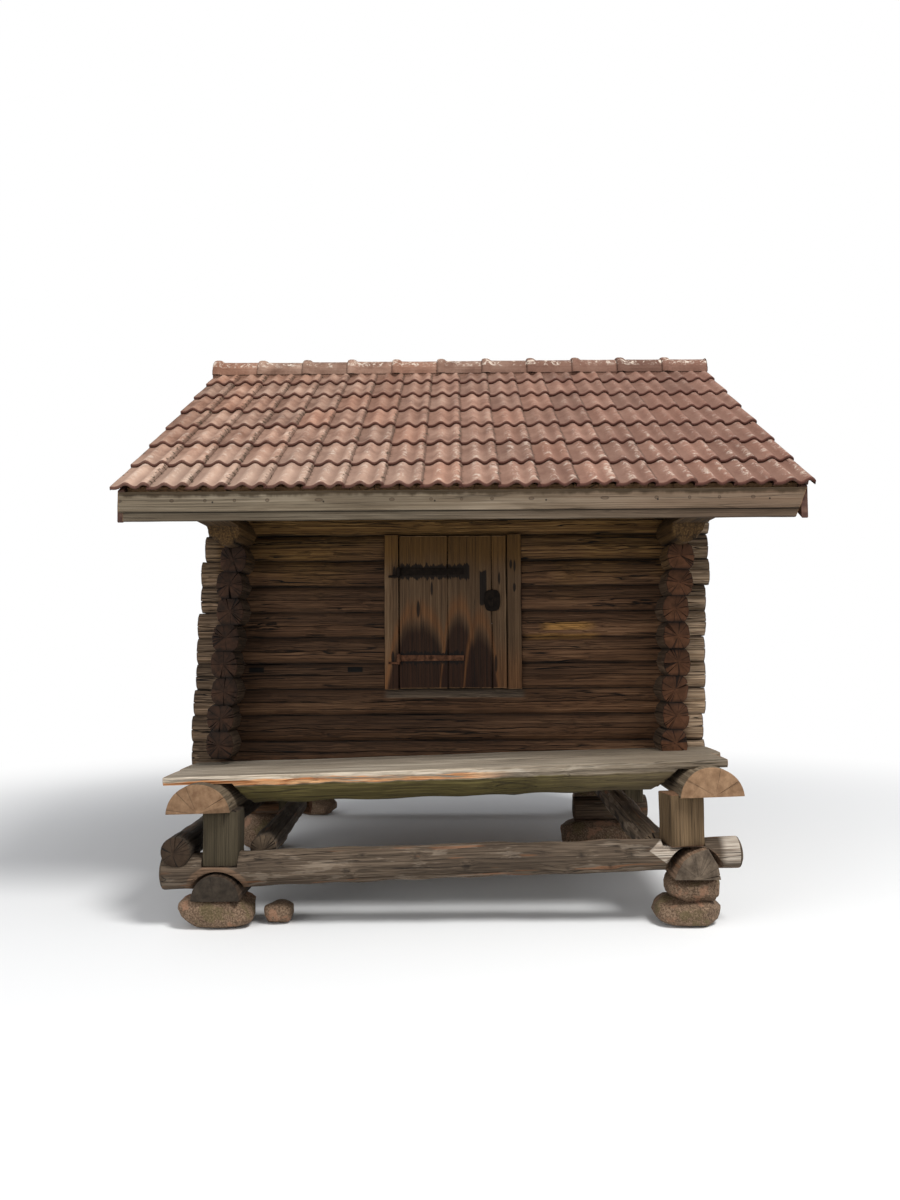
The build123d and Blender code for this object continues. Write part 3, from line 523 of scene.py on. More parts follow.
def granite_material():
    """Grey-brown stone with small grains, and greener and redder patches."""
    s = Shader("granite", 0.88)
    place = s.place()
    grains = s.noise(place, scale=110, rough=0.7)
    patches = s.noise(place, scale=8, detail=5, rough=0.6)
    s.colour = s.ramp(grains, (0.34, (72, 57, 45)), (0.50, (106, 86, 68)), (0.66, (142, 119, 98)))
    s.cover(0.5 * s.steps(patches, 0.52, 0.62), (90, 82, 52))
    s.cover(0.6 * s.steps(patches, 0.44, 0.38), (150, 112, 88))
    s.bump(patches, 0.008)
    s.bump(grains, 0.002)
    return s.done()


def iron_material():
    """Dark forged iron, browner with rust where the tint is warm."""
    s = Shader("rusty iron", 0.85, 0.08)
    rust = s.noise(s.place(), scale=35)
    tone, warmth, _ = s.parts(s.attribute("tint"))
    s.colour = s.ramp(rust, (0.30, (38, 31, 26)), (0.52, (52, 43, 36)), (0.70, (66, 54, 45)))
    s.cover(warmth, s.blend(rust, (48, 30, 20), (96, 64, 46), 0.20))
    s.shade(0.5 + tone)
    s.bump(rust, 0.0015)
    return s.done()


def paint_material():
    s = Shader("brown paint", 0.6)
    flakes = s.noise(s.place(), scale=18, detail=5)
    s.colour = s.ramp(flakes, (0.36, (52, 34, 28)), (0.52, (78, 52, 42)), (0.66, (104, 78, 64)))
    s.bump(flakes, 0.0015)
    return s.done()


wall_wood = wood("wall wood", (50, 33, 20), (79, 55, 37), (110, 82, 59), 120, 1.5, 0.17, wall_marks)
wall_end = end_wood("wall log ends", (42, 29, 20), (74, 50, 36))
side_wood = wood("side log wood", (54, 42, 30), (86, 68, 52), (122, 102, 82), 110, 0.8, 0.15, eave_warmth)
ground_wood = wood("ground log wood", (54, 44, 35), (82, 69, 56), (112, 97, 81), 110, 0.9, 0.14, ground_marks)
ground_end = end_wood("ground log ends", (56, 46, 36), (86, 72, 57))
sleeper_end = end_wood("sleeper ends", (66, 56, 46), (100, 87, 73), cracks=0.3, rings=0.07)
post_wood = wood("post wood", (58, 50, 35), (80, 70, 52), (102, 91, 71), 110, 0.5, 0.16)
plank_wood = wood("plank wood", (102, 90, 76), (138, 126, 109), (182, 171, 154), 110, 0.8, 0.14, plank_marks)
bearer_wood = wood("bearer wood", (72, 60, 46), (100, 86, 68), (132, 117, 96), 110, 0.8, 0.14)
bearer_end = end_wood("bearer ends", (116, 88, 64), (146, 116, 88), cracks=0.35, rings=0.07, pores=0.2)
fascia_wood = wood("fascia wood", (84, 73, 58), (108, 96, 79), (134, 122, 104), 150, 0.5, 0.15, fascia_marks)
pale_wood = wood("sheltered wood", (84, 62, 38), (118, 90, 58), (148, 118, 82), checks=0.4)
pale_end = end_wood("sawn ends", (110, 84, 58), (146, 114, 82))
door_wood = wood("door wood", (58, 43, 28), (84, 64, 45), (112, 90, 67), 150, 0.4, 0.18, door_marks)
clay = clay_material()
granite = granite_material()
iron = iron_material()
brown_paint = paint_material()


# Mesh building

class Shell:
    """Gathers the faces of one piece, with its grain and tint at each point."""

    def __init__(self, name, *materials):
        self.name, self.materials = name, materials
        self.points, self.grain, self.tint = [], [], []
        self.faces, self.slots, self.count = [], [], 0

    def add(self, points, faces, grain, tint, slots=None):
        points = np.asarray(points, float).reshape(-1, 3)
        self.points.append(points)
        self.grain.append(np.asarray(grain, float).reshape(-1, 3))
        self.tint.append(np.broadcast_to(np.asarray(tint, float), points.shape))
        self.faces.extend([[corner + self.count for corner in face] for face in faces])
        self.slots.extend(slots or [0] * len(faces))
        self.count += len(points)

    def build(self, body, slot, *nodes, sharp=32.0):
        mesh = bpy.data.meshes.new(self.name)
        mesh.from_pydata(np.concatenate(self.points).tolist(), [], self.faces)
        for name, values in (("grain", self.grain), ("tint", self.tint)):
            attribute = mesh.attributes.new(name, "FLOAT_VECTOR", "POINT")
            attribute.data.foreach_set("vector", np.concatenate(values).astype(np.float32).ravel())
        for material in self.materials:
            mesh.materials.append(material)
        mesh.polygons.foreach_set("material_index", self.slots)
        mesh.polygons.foreach_set("use_smooth", [True] * len(mesh.polygons))
        mesh.set_sharp_from_angle(angle=math.radians(sharp))
        mesh.validate()
        piece = bpy.data.objects.new(self.name, mesh)
        bpy.context.scene.collection.objects.link(piece)
        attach(piece, body)
        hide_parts(*nodes)


def grid_faces(rows, columns, closed=True):
    first = np.arange(rows - 1)[:, None] * columns
    here = np.arange(columns if closed else columns - 1)[None, :]
    there = (here + 1) % columns
    quads = np.stack([first + here, first + there, first + columns + there, first + columns + here], -1)
    return quads.reshape(-1, 4)


def ripple(rng, along, around, length=0.35, count=7):
    """Smooth unevenness, about -1 to 1, over metres along and a share around."""
    total = 0.0
    for _ in range(count):
        wave = along / (length * rng.uniform(0.5, 2.2)) + rng.choice((-3, -2, -1, 1, 2, 3)) * around
        total = total + np.sin(2 * math.pi * (wave + rng.random()))
    return total / math.sqrt(count) / 1.4


def faceted(corners, gap):
    """Points round a polygon at most a gap apart, with its corners kept."""
    corners = np.asarray(corners, float)
    points = []
    for here, there in zip(corners, np.roll(corners, -1, 0)):
        count = max(1, math.ceil(np.linalg.norm(there - here) / gap))
        points += [here + (there - here) * number / count for number in range(count)]
    return np.array(points)


def rounded(value, power):
    """Curve of a rounded block, from the sine or cosine of a circle."""
    return np.sign(value) * np.abs(value) ** power


def round_outline(radius, count=44):
    angle = np.arange(count) / count * 2 * math.pi
    return radius * np.stack([np.cos(angle), np.sin(angle)], -1)


def box_outline(width, height, ease=0.004, gap=0.02):
    """Rectangle with eased corners, its middle at the origin."""
    w, h = width / 2, height / 2
    corners = [
        (w, -h + ease), (w, h - ease), (w - ease, h), (-w + ease, h),
        (-w, h - ease), (-w, -h + ease), (-w + ease, -h), (w - ease, -h),
    ]
    return faceted(corners, gap)


def dome_radius(width, height):
    return (width**2 / 4 + height**2) / (2 * height)


def dome(width, height, gap=0.012, arc_points=30):
    """Half log outline: flat underside, round top, its origin under the middle."""
    radius = dome_radius(width, height)
    centre = height - radius
    side = math.atan2(-centre, width / 2)
    angles = np.linspace(side, math.pi - side, arc_points)
    return faceted([(radius * math.cos(a), centre + radius * math.sin(a)) for a in angles], gap)


def dome_height(offset, width, height):
    """Height of a half log over its flat side, far below it where it has ended."""
    radius = dome_radius(width, height)
    inside = np.abs(offset) < width / 2
    return np.where(inside, height - radius + np.sqrt(np.maximum(radius**2 - offset**2, 0)), -1.0)


# An end face is a cap of rings, as shares of the outline from the heart out
cap_rings = (0.06, 0.35, 0.68, 0.93, 0.975)
cap_count = len(cap_rings)
# How much painted shade a check gets and how dark a knot is, how far a check wanders, and how deep it stays
# across an end face
check_shade, knot_dark, check_wander, check_sink = 0.9, 0.75, 0.012, 0.8
heart_shift = 0.012


def axes(start, end, up):
    """Length from start to end, and the ways ahead, across and over."""
    length = np.linalg.norm(end - start)
    ahead = (end - start) / length
    across = np.cross(up, ahead)
    across /= np.linalg.norm(across)
    return length, ahead, across, np.cross(ahead, across)


def off_share(shares, share):
    """How far shares round an outline lie from one of them, by the shorter way."""
    return (shares - share + 0.5) % 1 - 0.5


def outline_shares(count, size, checks):
    """Shares round an outline, with three at each check: its bottom between two lips."""
    shares = np.arange(count) / count
    for share, _, half, _ in checks:
        shares = shares[np.abs(off_share(shares, share)) > 1.6 * half / size]
        shares = np.append(shares, [(share - half / size) % 1, share % 1, (share + half / size) % 1])
    return np.sort(shares)


def log_stations(length, step, edge, cuts):
    """Distances along a log, the rings of both end faces among them, and the scale of each."""
    body = np.linspace(edge, length - edge, max(3, int(length / step)))
    extra = [place for place in cuts if edge < place < length - edge]
    body = body[[np.abs(np.append(extra, 1e9) - place).min() > 0.004 for place in body]]
    body = np.sort(np.concatenate([body, extra]))
    along = np.concatenate([[0] * cap_count, body, [length] * cap_count])
    return along, np.concatenate([cap_rings, np.ones(len(body)), cap_rings[::-1]])


def wandered(rng, along, shares, checks):
    """The shares at each station, drawn sideways near checks that run all along."""
    moved = np.tile(shares, (len(along), 1))
    for share, _, _, reach in checks:
        wander = check_wander * ripple(rng, along, 0.0, 0.5, 4)[:, None]
        moved = moved + wander * np.exp(-((off_share(moved, share) / 0.06) ** 2)) * (reach is None)
    return moved % 1


def check_opening(rng, along, length, reach):
    """How far a check is open at each station: all along, or less and less from the ends."""
    if reach is None:
        return np.clip(0.75 + 0.5 * ripple(rng, along, 0.0, 0.4, 4), 0.1, 1)
    return np.exp(-((np.minimum(along, length - along) / reach) ** 2))


def log_faces(rows, columns):
    """Faces of a closed log, and their material slots: 0 for its sides, 1 for its ends."""
    faces = grid_faces(rows, columns).tolist()
    faces.append(list(range(columns))[::-1])
    faces.append(list(range((rows - 1) * columns, rows * columns)))
    slots = np.zeros((rows - 1, columns), int)
    slots[:cap_count] = 1
    slots[-cap_count:] = 1
    return faces, slots.ravel().tolist() + [1, 1]


def log_tints(tint, end_tint, dark):
    tints = np.zeros((*dark.shape, 3))
    tints[:] = as_tint(tint)
    if end_tint is not None:
        tints[:cap_count - 1] = as_tint(end_tint)
        tints[1 - cap_count:] = as_tint(end_tint)
    tints[..., 2] = np.maximum(tints[..., 2], dark)
    return tints.reshape(-1, 3)


def log(
    shell, start, end, outline, rng, rough=0.003, bend=0.003, step=0.05, tint=0.5, end_tint=None, checks=(),
    knots=(), taper=0.0, up=(0, 0, 1), edge=0.004, crown=0.002, shape=None, stations=(), skews=(0.0, 0.0),
):
    """A log, post, plank or board: an outline drawn from start to end.

    tint: tone alone, or tone, fresh wood, and dirt with painted shade; end_tint: the same for the end faces
    checks: (share round the outline, depth, half width, reach from an end or None for all)
    knots: (distance along, share round the outline, radius, height)
    shape: changes the sides, given (along, across, over, dark) as tables of stations and shares
    stations: extra distances along, for sharp cuts; skews: how far the two ends lean
    """
    start, end, up = (np.asarray(v, float) for v in (start, end, up))
    length, ahead, across, over = axes(start, end, up)
    size = np.hypot(*(outline - np.roll(outline, 1, 0)).T).sum()
    shares = outline_shares(len(outline), size, checks)
    along, scale = log_stations(length, step, edge, stations)
    moved = wandered(rng, along, shares, checks)
    table = np.arange(len(outline) + 1) / len(outline)
    across_by, over_by = (np.interp(moved, table, np.append(way, way[0])) for way in outline.T)

    far_out = np.hypot(across_by, over_by) + 1e-9
    swell = 1 + rough / far_out * ripple(rng, along[:, None], moved)
    swell *= (1 + taper * (along / length - 0.5))[:, None]
    dark, sink = np.zeros(moved.shape), np.zeros(moved.shape)
    for place, share, radius, height in knots:
        apart = (along[:, None] - place) ** 2 + (off_share(moved, share) * size) ** 2
        swell += height / far_out * np.exp(-apart / radius**2)
        dark = np.maximum(dark, knot_dark * np.exp(-apart / (0.5 * radius) ** 2))
    for share, depth, _, reach in checks:
        on = np.abs(shares - share % 1) < 1e-9
        opened = check_opening(rng, along, length, reach)
        swell[:, on] -= (depth * opened / far_out[:, on].T).T
        # Painted shade along an open check, carried in the tint's third channel
        dark[:, on] = np.maximum(dark[:, on], check_shade * opened[:, None])
        sink[:, on] += (check_sink * depth * (scale < 1) * scale)[:, None]
    across_by = across_by * swell * scale[:, None]
    over_by = over_by * swell * scale[:, None]

    face = np.where(along <= 0, 1.0, np.where(along >= length, -1.0, 0.0))
    rim = (1 - scale**4) * (scale < 1)
    push = sink - (crown * rim)[:, None]
    push = push + 0.3 * rough * (scale < 1)[:, None] * ripple(rng, 8 * across_by, shares[None, :], 1.0, 5)
    where = along[:, None] + face[:, None] * push
    bow_across, bow_over = (bend * ripple(rng, along, 0.0, 1.3, 3)[:, None] for _ in range(2))
    if shape is not None:
        across_by, over_by, dark = shape(along[:, None], across_by, over_by, dark)
    lean_by = skews[0] + (skews[1] - skews[0]) * along[:, None] / length
    points = (
        start
        + (where + lean_by * over_by)[..., None] * ahead
        + (across_by + bow_across)[..., None] * across
        + (over_by + bow_over)[..., None] * over
    )

    heart_across, heart_over = (rng.uniform(-heart_shift, heart_shift) for _ in range(2))
    grain = np.stack([where + rng.uniform(0, 40), across_by - heart_across, over_by - heart_over], -1)
    faces, slots = log_faces(*moved.shape)
    shell.add(points, faces, grain, log_tints(tint, end_tint, dark), slots)


def as_tint(value):
    """Tone, fresh wood, and dirt with painted shade, when only a tone may be given."""
    return value if isinstance(value, tuple) else (value, 0, 0)


def board(shell, start, end, width, height, rng, **more):
    settings = dict(rough=0.0008, bend=0.0008, step=0.12, crown=0.0, edge=0.002)
    settings.update(more)
    ease = min(0.004, 0.2 * min(width, height))
    log(shell, start, end, box_outline(width, height, ease), rng, **settings)


def upright(shell, x, y, low_z, high_z, width, depth, rng, **more):
    """An upright board."""
    board(shell, (x, y, low_z), (x, y, high_z), width, depth, rng, up=(0, 1, 0), **more)


# Log walls

roof_gap = 0.002
# Checks all along a log: depth, half width, and None for the reach from an end
long_check, fine_check = (0.014, 0.003, None), (0.008, 0.002, None)


def wall_outline(rng):
    """Hewn log: two faces that meet at a ridge on each side, and narrow seams."""
    half, seam, lower_cheek, upper_cheek = log_width / 2, 0.047, 0.070, 0.069
    h = course / 2 + 0.0005
    back, front = rng.uniform(-0.020, 0.012), rng.uniform(-0.022, 0.010)
    return faceted([
        (seam, -h), (lower_cheek, -0.66 * h), (half, back), (upper_cheek, 0.70 * h), (seam, h),
        (-seam, h), (-upper_cheek, 0.70 * h), (-half, front), (-lower_cheek, -0.66 * h), (-seam, -h),
    ], 0.013)


def seam_and_facet_shade(over_by, dark):
    """Painted shade: darker seams between the logs, and upper faces a little darker than lower ones."""
    seam = np.exp(-(((np.abs(over_by) - course / 2) / 0.008) ** 2))
    return np.maximum(dark, np.maximum(0.95 * seam, 0.30 * (over_by > 0.004)))


def wall_log(shell, y, index, from_x, to_x, tone, rng):
    """A log of the front or back wall, up to the doorway or past the corner where no end is given."""
    z = first_wall_z + index * course
    left, right = from_x, to_x
    if left is None:
        shorter = 0.025 if index >= wall_courses - 5 else 0.0
        left = side_axis(-1, z) - wall_ear + shorter + rng.uniform(-0.014, 0.006)
    if right is None:
        right = side_axis(1, z) + wall_ear + rng.uniform(-0.006, 0.014)
    checks = [
        (rng.uniform(0.60, 0.68), 0.015, 0.003, None), (rng.uniform(0.80, 0.90), 0.015, 0.003, None),
        (rng.uniform(0.1, 0.4), *long_check), (rng.random(), 0.016, 0.0025, 0.05),
    ]
    lid = under_roof(abs(y) + log_width / 2) - z - roof_gap
    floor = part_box("front_wall_base")[0].z + 0.004 - z if index == 0 else -course

    def trim(along, across_by, over_by, dark):
        # Painted shade in the seams and on the upper faces
        return across_by, np.clip(over_by, floor, lid), seam_and_facet_shade(over_by, dark)

    log(
        shell, (left, y, z), (right, y, z), wall_outline(rng), rng, rough=0.0035, step=0.045,
        tint=tone, checks=checks, shape=trim,
    )


def front_logs():
    """Front wall in four pieces round the doorway."""
    rng = random.Random(11)
    tones = (0.52, 0.44, 0.56, 0.36, 0.44, 0.56, 0.50, 0.62, 0.46, 0.58, 0.48, 0.62, 0.62)
    door_top = base_courses + door_courses
    # The logs right of the doorway get a brighter tone: painted sunlight
    for part, first, last, from_x, to_x, painted_sunlight in (
        ("base", 0, base_courses, None, None, 0.0),
        ("left", base_courses, door_top, None, opening_left, 0.0),
        ("right", base_courses, door_top, opening_right, None, 0.10),
        ("head", door_top, wall_courses, None, None, 0.0),
    ):
        shell = Shell(f"front_wall_{part}_logs", wall_wood, wall_end)
        for index in range(first, last):
            tone = tones[index] + painted_sunlight + rng.uniform(-0.06, 0.06)
            wall_log(shell, wall_y, index, from_x, to_x, tone, rng)
        shell.build("building", "wall_log_wood", "front_wall_" + part, sharp=20)


def back_logs():
    rng = random.Random(12)
    shell = Shell("back_wall_logs", wall_wood, wall_end)
    for index in range(wall_courses):
        wall_log(shell, -wall_y, index, None, None, rng.uniform(0.44, 0.62), rng)
    shell.build("building", "wall_log_wood", "back_wall", sharp=20)


# Sideways shifts of the heads of the side logs from the lowest up, as they stand in the photograph
head_shifts = {
    -1: (-0.010, -0.015, 0.0, -0.012, -0.005, 0.010, 0.0, 0.015),
    1: (0.0, 0.006, -0.004, 0.008, 0.0, -0.010, 0.006, 0.010),
}


def side_log(shell, sign, index, reach, tone, end_tone, rng, outline=None, underside=None, stations=()):
    """A log of a side wall, a gable or the eave, the same distance to the front and to the back."""
    z = first_side_z + index * course
    x = side_axis(sign, z) + (head_shifts[sign][index] if index < wall_side_courses else 0.0)
    checks = [(rng.uniform(0.12, 0.20), *long_check), (rng.uniform(0.62, 0.70), *long_check)]
    checks += [(rng.random(), 0.022, 0.0035, 0.06) for _ in range(3)]

    def trim(along, across_by, over_by, dark):
        y = np.abs(along - reach)
        if underside is not None:
            over_by = np.maximum(over_by, underside(y))
        # Painted shade in the seams and on the upper faces
        return across_by, np.minimum(over_by, under_roof(y) - z - roof_gap), seam_and_facet_shade(over_by, dark)

    log(
        shell, (x, -reach, z), (x, reach, z), wall_outline(rng) if outline is None else outline, rng,
        step=0.045, tint=tone, checks=checks, shape=trim, crown=0.010,
        end_tint=(end_tone, 0.08 if sign > 0 else 0.0, 0), stations=stations,
    )


def side_logs():
    """Both side walls, the gables over them and the eave logs between."""
    rng = random.Random(13)
    # Painted shade and sunlight: the left side's logs and end faces are toned dark, the right side's bright
    for sign, name, tones, end_tone in ((-1, "left", (0.20, 0.32), 0.24), (1, "right", (0.34, 0.50), 0.66)):
        shell = Shell(f"side_wall_{name}_logs", side_wood, wall_end)
        for index in range(wall_side_courses):
            tone = rng.uniform(*tones)
            side_log(shell, sign, index, side_end, tone, end_tone + rng.uniform(-0.06, 0.06), rng)
        shell.build("building", "wall_log_wood", "side_wall_" + name, sharp=20)
        shell = Shell(f"gable_{name}_logs", side_wood, wall_end)
        for index in range(wall_side_courses + 1, side_courses):
            reach = (under_apex_z - first_side_z - (index - 0.5) * course) / math.tan(pitch)
            if reach > 0.12:
                side_log(shell, sign, index, min(side_end, reach), rng.uniform(0.42, 0.62), 0.5, rng)
        shell.build("building", "wall_log_wood", "gable_" + name, sharp=20)
    eave_logs(rng)


def eave_logs(rng):
    """Round logs on the side walls, hewn up to tongues under the outer purlins."""
    hewn_from, hewn_to = 1.650, 1.740
    foot, tongue = -0.11, 0.007

    def underside(y):
        return foot + (tongue - foot) * np.clip((y - hewn_from) / (hewn_to - hewn_from), 0, 1)

    shell = Shell("eave_log_pair", side_wood, wall_end)
    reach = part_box("eave_logs")[1].y
    cuts = [reach + way * y for way in (-1, 1) for y in (hewn_from, hewn_to)]
    outline = round_outline(0.093, 52)
    for sign in (-1, 1):
        side_log(shell, sign, wall_side_courses, reach, 0.08, 0.26, rng, outline, underside, cuts)
    shell.build("building", "wall_log_wood", "eave_logs")


# Roof

def roof_point(side, x, along, out):
    """Place on a slope: along from the eave up the slope, out from the crests of the tiles."""
    reach = eave_y - along * math.cos(pitch) + out * math.sin(pitch)
    height = apex_z - eave_y * math.tan(pitch) + along * math.sin(pitch) + out * math.cos(pitch)
    return x, side * reach, height


def slope_board(shell, side, x, first, last, out, width, height, rng, **more):
    """A board that runs up one slope of the roof."""
    up = (0, side * math.sin(pitch), math.cos(pitch))
    start, end = roof_point(side, x, first, out), roof_point(side, x, last, out)
    board(shell, start, end, width, height, rng, up=up, **more)


# Two-wave tile across its width in millimetres: place from its left joint, depth under the crests
tile_wave = (
    (-12, 27), (0, 24), (15, 25), (30, 24.5), (45, 20), (58, 12), (70, 4.5),
    (83, 0.5), (96, 4), (107, 12), (119, 20), (131, 23.5), (143, 20), (155, 11),
    (166, 3), (178, 0), (189, 2.5), (198, 8), (207, 15), (208, 24),
)
tile_width = 0.2045
tile_thick, tile_lap = 0.017, 0.055


def tile(shell, side, x, row, rng):
    """One tile with a thick, eased lower edge, laid a little out of line."""
    wide = [place / 1000 * tile_cover / tile_width for place, _ in tile_wave]
    deep = [depth / 1000 for _, depth in tile_wave]
    reach = tile_gauge + (0 if row == tile_rows - 1 else tile_lap)
    slide, lift, skew = rng.uniform(-0.004, 0.004), rng.uniform(-0.0015, 0.0), rng.uniform(-0.006, 0.006)
    if row == 0:
        slide = rng.uniform(0.0, 0.005)
    profile = [
        (0.10, -tile_thick), (0.004, -tile_thick), (0.0, -tile_thick + 0.004), (0.0, -0.005),
        (0.0025, -0.0012), (0.008, 0.0), (0.02, 0.0), (0.07, 0.0), (0.16, 0.0), (0.27, 0.0), (reach, 0.0),
    ]
    phase = rng.uniform(0, 30)
    points, grain = [], []
    for along, out in profile:
        drop = tile_step * along / tile_gauge
        for w, d in zip(wide, deep):
            waver = 0.0008 * math.sin(9 * w + phase + 17 * along)
            tile_x = min(max(x + w + skew * along, -roof_half), roof_half)
            place = row * tile_gauge + along + slide
            points.append(roof_point(side, tile_x, place, lift + out - d - drop + waver))
            grain.append((w, along, -d))
    faces = grid_faces(len(profile), len(wide), closed=False)
    if side > 0:
        faces = faces[:, ::-1]
    tone = min(0.75, max(0.28, rng.gauss(0.5, 0.09)))
    shell.add(points, faces.tolist(), grain, (tone, rng.random() ** 3, 0))


def roof_tiles():
    """Both slopes, tile by tile from the eave up."""
    rng = random.Random(21)
    for side, name in (front_side, back_side):
        shell = Shell(f"roof_tiles_{name}_laid", clay)
        for row in range(tile_rows):
            for column in range(tile_columns):
                tile(shell, side, -roof_half + column * tile_cover, row, rng)
        shell.build("building", "clay_tile", "roof_tiles_" + name, sharp=50)


# Ridge tile along its length: place from its left end, how proud of the roll it stands
collar = (
    (0.0, -0.006), (0.0, 0.003), (0.006, 0.009), (0.018, 0.012), (0.040, 0.012), (0.055, 0.008),
    (0.066, -0.001), (0.072, -0.004), (0.12, -0.005), (0.2, -0.006), (0.28, -0.006),
)
collar_lip = 0.008


def ridge_outline(radius, base, top, skirt_height=0.036, arc_steps=12):
    """Half round with upright skirts, from one foot over the ridge to the other."""
    skirt = base + skirt_height
    half = [(radius, base), (radius, base + 0.03), (radius - 0.007, skirt)]
    for step in range(1, arc_steps + 1):
        angle = math.pi / 2 * step / arc_steps
        half.append(((radius - 0.008) * math.cos(angle), skirt + (top - skirt) * math.sin(angle)))
    return half + [(-y, z) for y, z in half[-2::-1]]


def ridge_tiles():
    """Ridge tiles with a rolled collar at the left end of each, a mortar bed and closed ends."""
    rng = random.Random(22)
    low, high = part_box("ridge_tiles")
    length = (high.x - low.x) / ridge_tile_count
    radius = (high.y - low.y) / 2 - collar_lip
    base = low.z + 0.004
    over = ridge_outline(radius, base, high.z - collar_lip)
    stations = (*collar, (length + 0.02, -0.006))
    trough = -0.02
    shell = Shell("ridge_tiles_laid", clay)
    for number in range(ridge_tile_count):
        start = low.x + number * length
        lift = rng.uniform(-0.003, 0.001)
        points, grain = [], []
        for along, proud in stations:
            for y, z in over:
                factor = 1 + proud / math.hypot(y, z - base)
                raised = lift if z > base + 0.03 else 0.0
                points.append((min(start + along, high.x), y * factor, base + (z - base) * factor + raised))
                grain.append((0.1, 0.1, 0.0 if z > base + 0.05 else trough))
        faces = grid_faces(len(stations), len(over), closed=False)[:, ::-1]
        shell.add(points, faces.tolist(), grain, (rng.gauss(0.34, 0.06), rng.random() ** 2, 0))
    bed_depth, bed_inset = 0.040, 0.012
    for side in (-1, 1):
        y = side * (radius - bed_inset)
        bed = [(x, y, base - down) for x in (low.x, high.x) for down in (0, bed_depth)]
        shell.add(bed, [[0, 1, 3, 2][::side]], [(0.1, 0.1, trough)] * 4, (0.35, 0.6, 0))
    for x, way in ((low.x, -1), (high.x, 1)):
        end = [(x, y, z) for y, z in over]
        shell.add(end, [list(range(len(over)))[::way]], [(0.1, 0.1, 0)] * len(over), (0.4, 0.2, 0))
    shell.build("building", "clay_tile", "ridge_tiles", sharp=50)


def roof_boards():
    """Boards up the slope under the tiles."""
    rng = random.Random(23)
    low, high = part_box("roof_boards_front")
    count, gap = 27, 0.002
    width = (high.x - low.x) / count
    first, last = 0.064, slope_length - (tile_depth + deck_depth) * math.tan(pitch) + 0.02
    out = -tile_depth - deck_depth / 2
    for side, name in (front_side, back_side):
        shell = Shell(f"roof_boards_{name}_laid", pale_wood, pale_end)
        for number in range(count):
            x = low.x + (number + 0.5) * width
            tone = rng.uniform(0.35, 0.6)
            size = (width - gap, deck_depth - gap)
            slope_board(shell, side, x, first, last, out, *size, rng, tint=tone, step=0.4)
        shell.build("building", "pale_wood", "roof_boards_" + name)


fascia_slant = 0.37
fascia_upper, fascia_lower, fascia_lap = 0.110, 0.045, 0.006


def fascias():
    """Two boards one above the other under the tiles, cut slanting at the right end."""
    rng = random.Random(24)
    lower_drop = fascia_upper + (fascia_lower - fascia_lap) / 2
    for side, name in (front_side, back_side):
        low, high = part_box("fascia_" + name)
        shell = Shell(f"fascia_{name}_boards", fascia_wood, pale_end)
        middle_y = (low.y + high.y) / 2
        lower_y = middle_y - side * 0.006
        knots = [(rng.uniform(0.1, 3.5), rng.uniform(0.30, 0.45), 0.020, 0.001) for _ in range(7)]
        for drop, left, y, thick, width, tone, marks in (
            (fascia_upper / 2, low.x, middle_y, 0.028, fascia_upper - 0.003, 0.52, knots),
            (lower_drop, low.x + 0.022, lower_y, 0.020, fascia_lower + fascia_lap, 0.22, ()),
        ):
            start, end = (left, y, high.z - drop), (high.x - fascia_slant * drop, y, high.z - drop)
            slant = (0.0, fascia_slant)
            board(shell, start, end, thick, width, rng, tint=tone, knots=marks, skews=slant, step=0.05)
        shell.build("building", "grey_wood", "fascia_" + name)


def barge_boards():
    """Painted boards up both slopes at each gable, cut plumb, and strips beside the right ones."""
    rng = random.Random(26)
    low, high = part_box("barge_boards")
    thick, width = 0.035, 0.150
    out = -tile_depth - width / 2
    first, last = ((eave_y - y + out * math.sin(pitch)) / math.cos(pitch) for y in (high.y, 0.001))
    plumb = (math.tan(pitch), math.tan(pitch))
    shell = Shell("barge_boards_painted", brown_paint, brown_paint)
    for x in (low.x + thick / 2, high.x - thick / 2):
        for side in (-1, 1):
            slope_board(shell, side, x, first, last, out, thick, width, rng, step=0.1, skews=plumb)
    strip_x, strip_out, strip_end = 1.802, -0.038, 0.03
    for side in (-1, 1):
        last = slope_length - strip_end
        slope_board(shell, side, strip_x, strip_end, last, strip_out, 0.020, 0.028, rng, step=0.2)
    shell.build("building", "brown_painted_wood", "barge_boards")


def purlins():
    """Four purlins and the ridge beam, all along the roof."""
    rng = random.Random(25)
    radius, beam_radius = 0.072, 0.077
    low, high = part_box("purlins")
    beam_low, beam_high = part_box("ridge_beam")
    outer, low_z, high_z = high.y - radius, low.z + radius, high.z - radius
    for name, node, left, right, size, places in (
        ("purlin_logs", "purlins", low.x, high.x, radius - 0.003,
         ((-outer, low_z), (-outer / 2, high_z), (outer / 2, high_z), (outer, low_z))),
        ("ridge_beam_log", "ridge_beam", beam_low.x, beam_high.x, beam_radius,
         ((0, (beam_low.z + beam_high.z) / 2),)),
    ):
        shell = Shell(name, pale_wood, pale_end)
        for y, z in places:
            outline = round_outline(size, 32)
            log(shell, (left, y, z), (right, y, z), outline, rng, tint=0.40, step=0.08, rough=0.002)
        shell.build("building", "pale_wood", node)


# Porch and what carries it, with places measured in the photograph where it shows them

# Bearers as place in x, underside and tone
bearer_places = {"left": (-1.364, 0.590, 0.40), "right": (1.271, 0.664, 0.56)}
bearer_width, bearer_height, bearer_flat = 0.330, 0.149, 0.128
bearer_hidden = 0.02


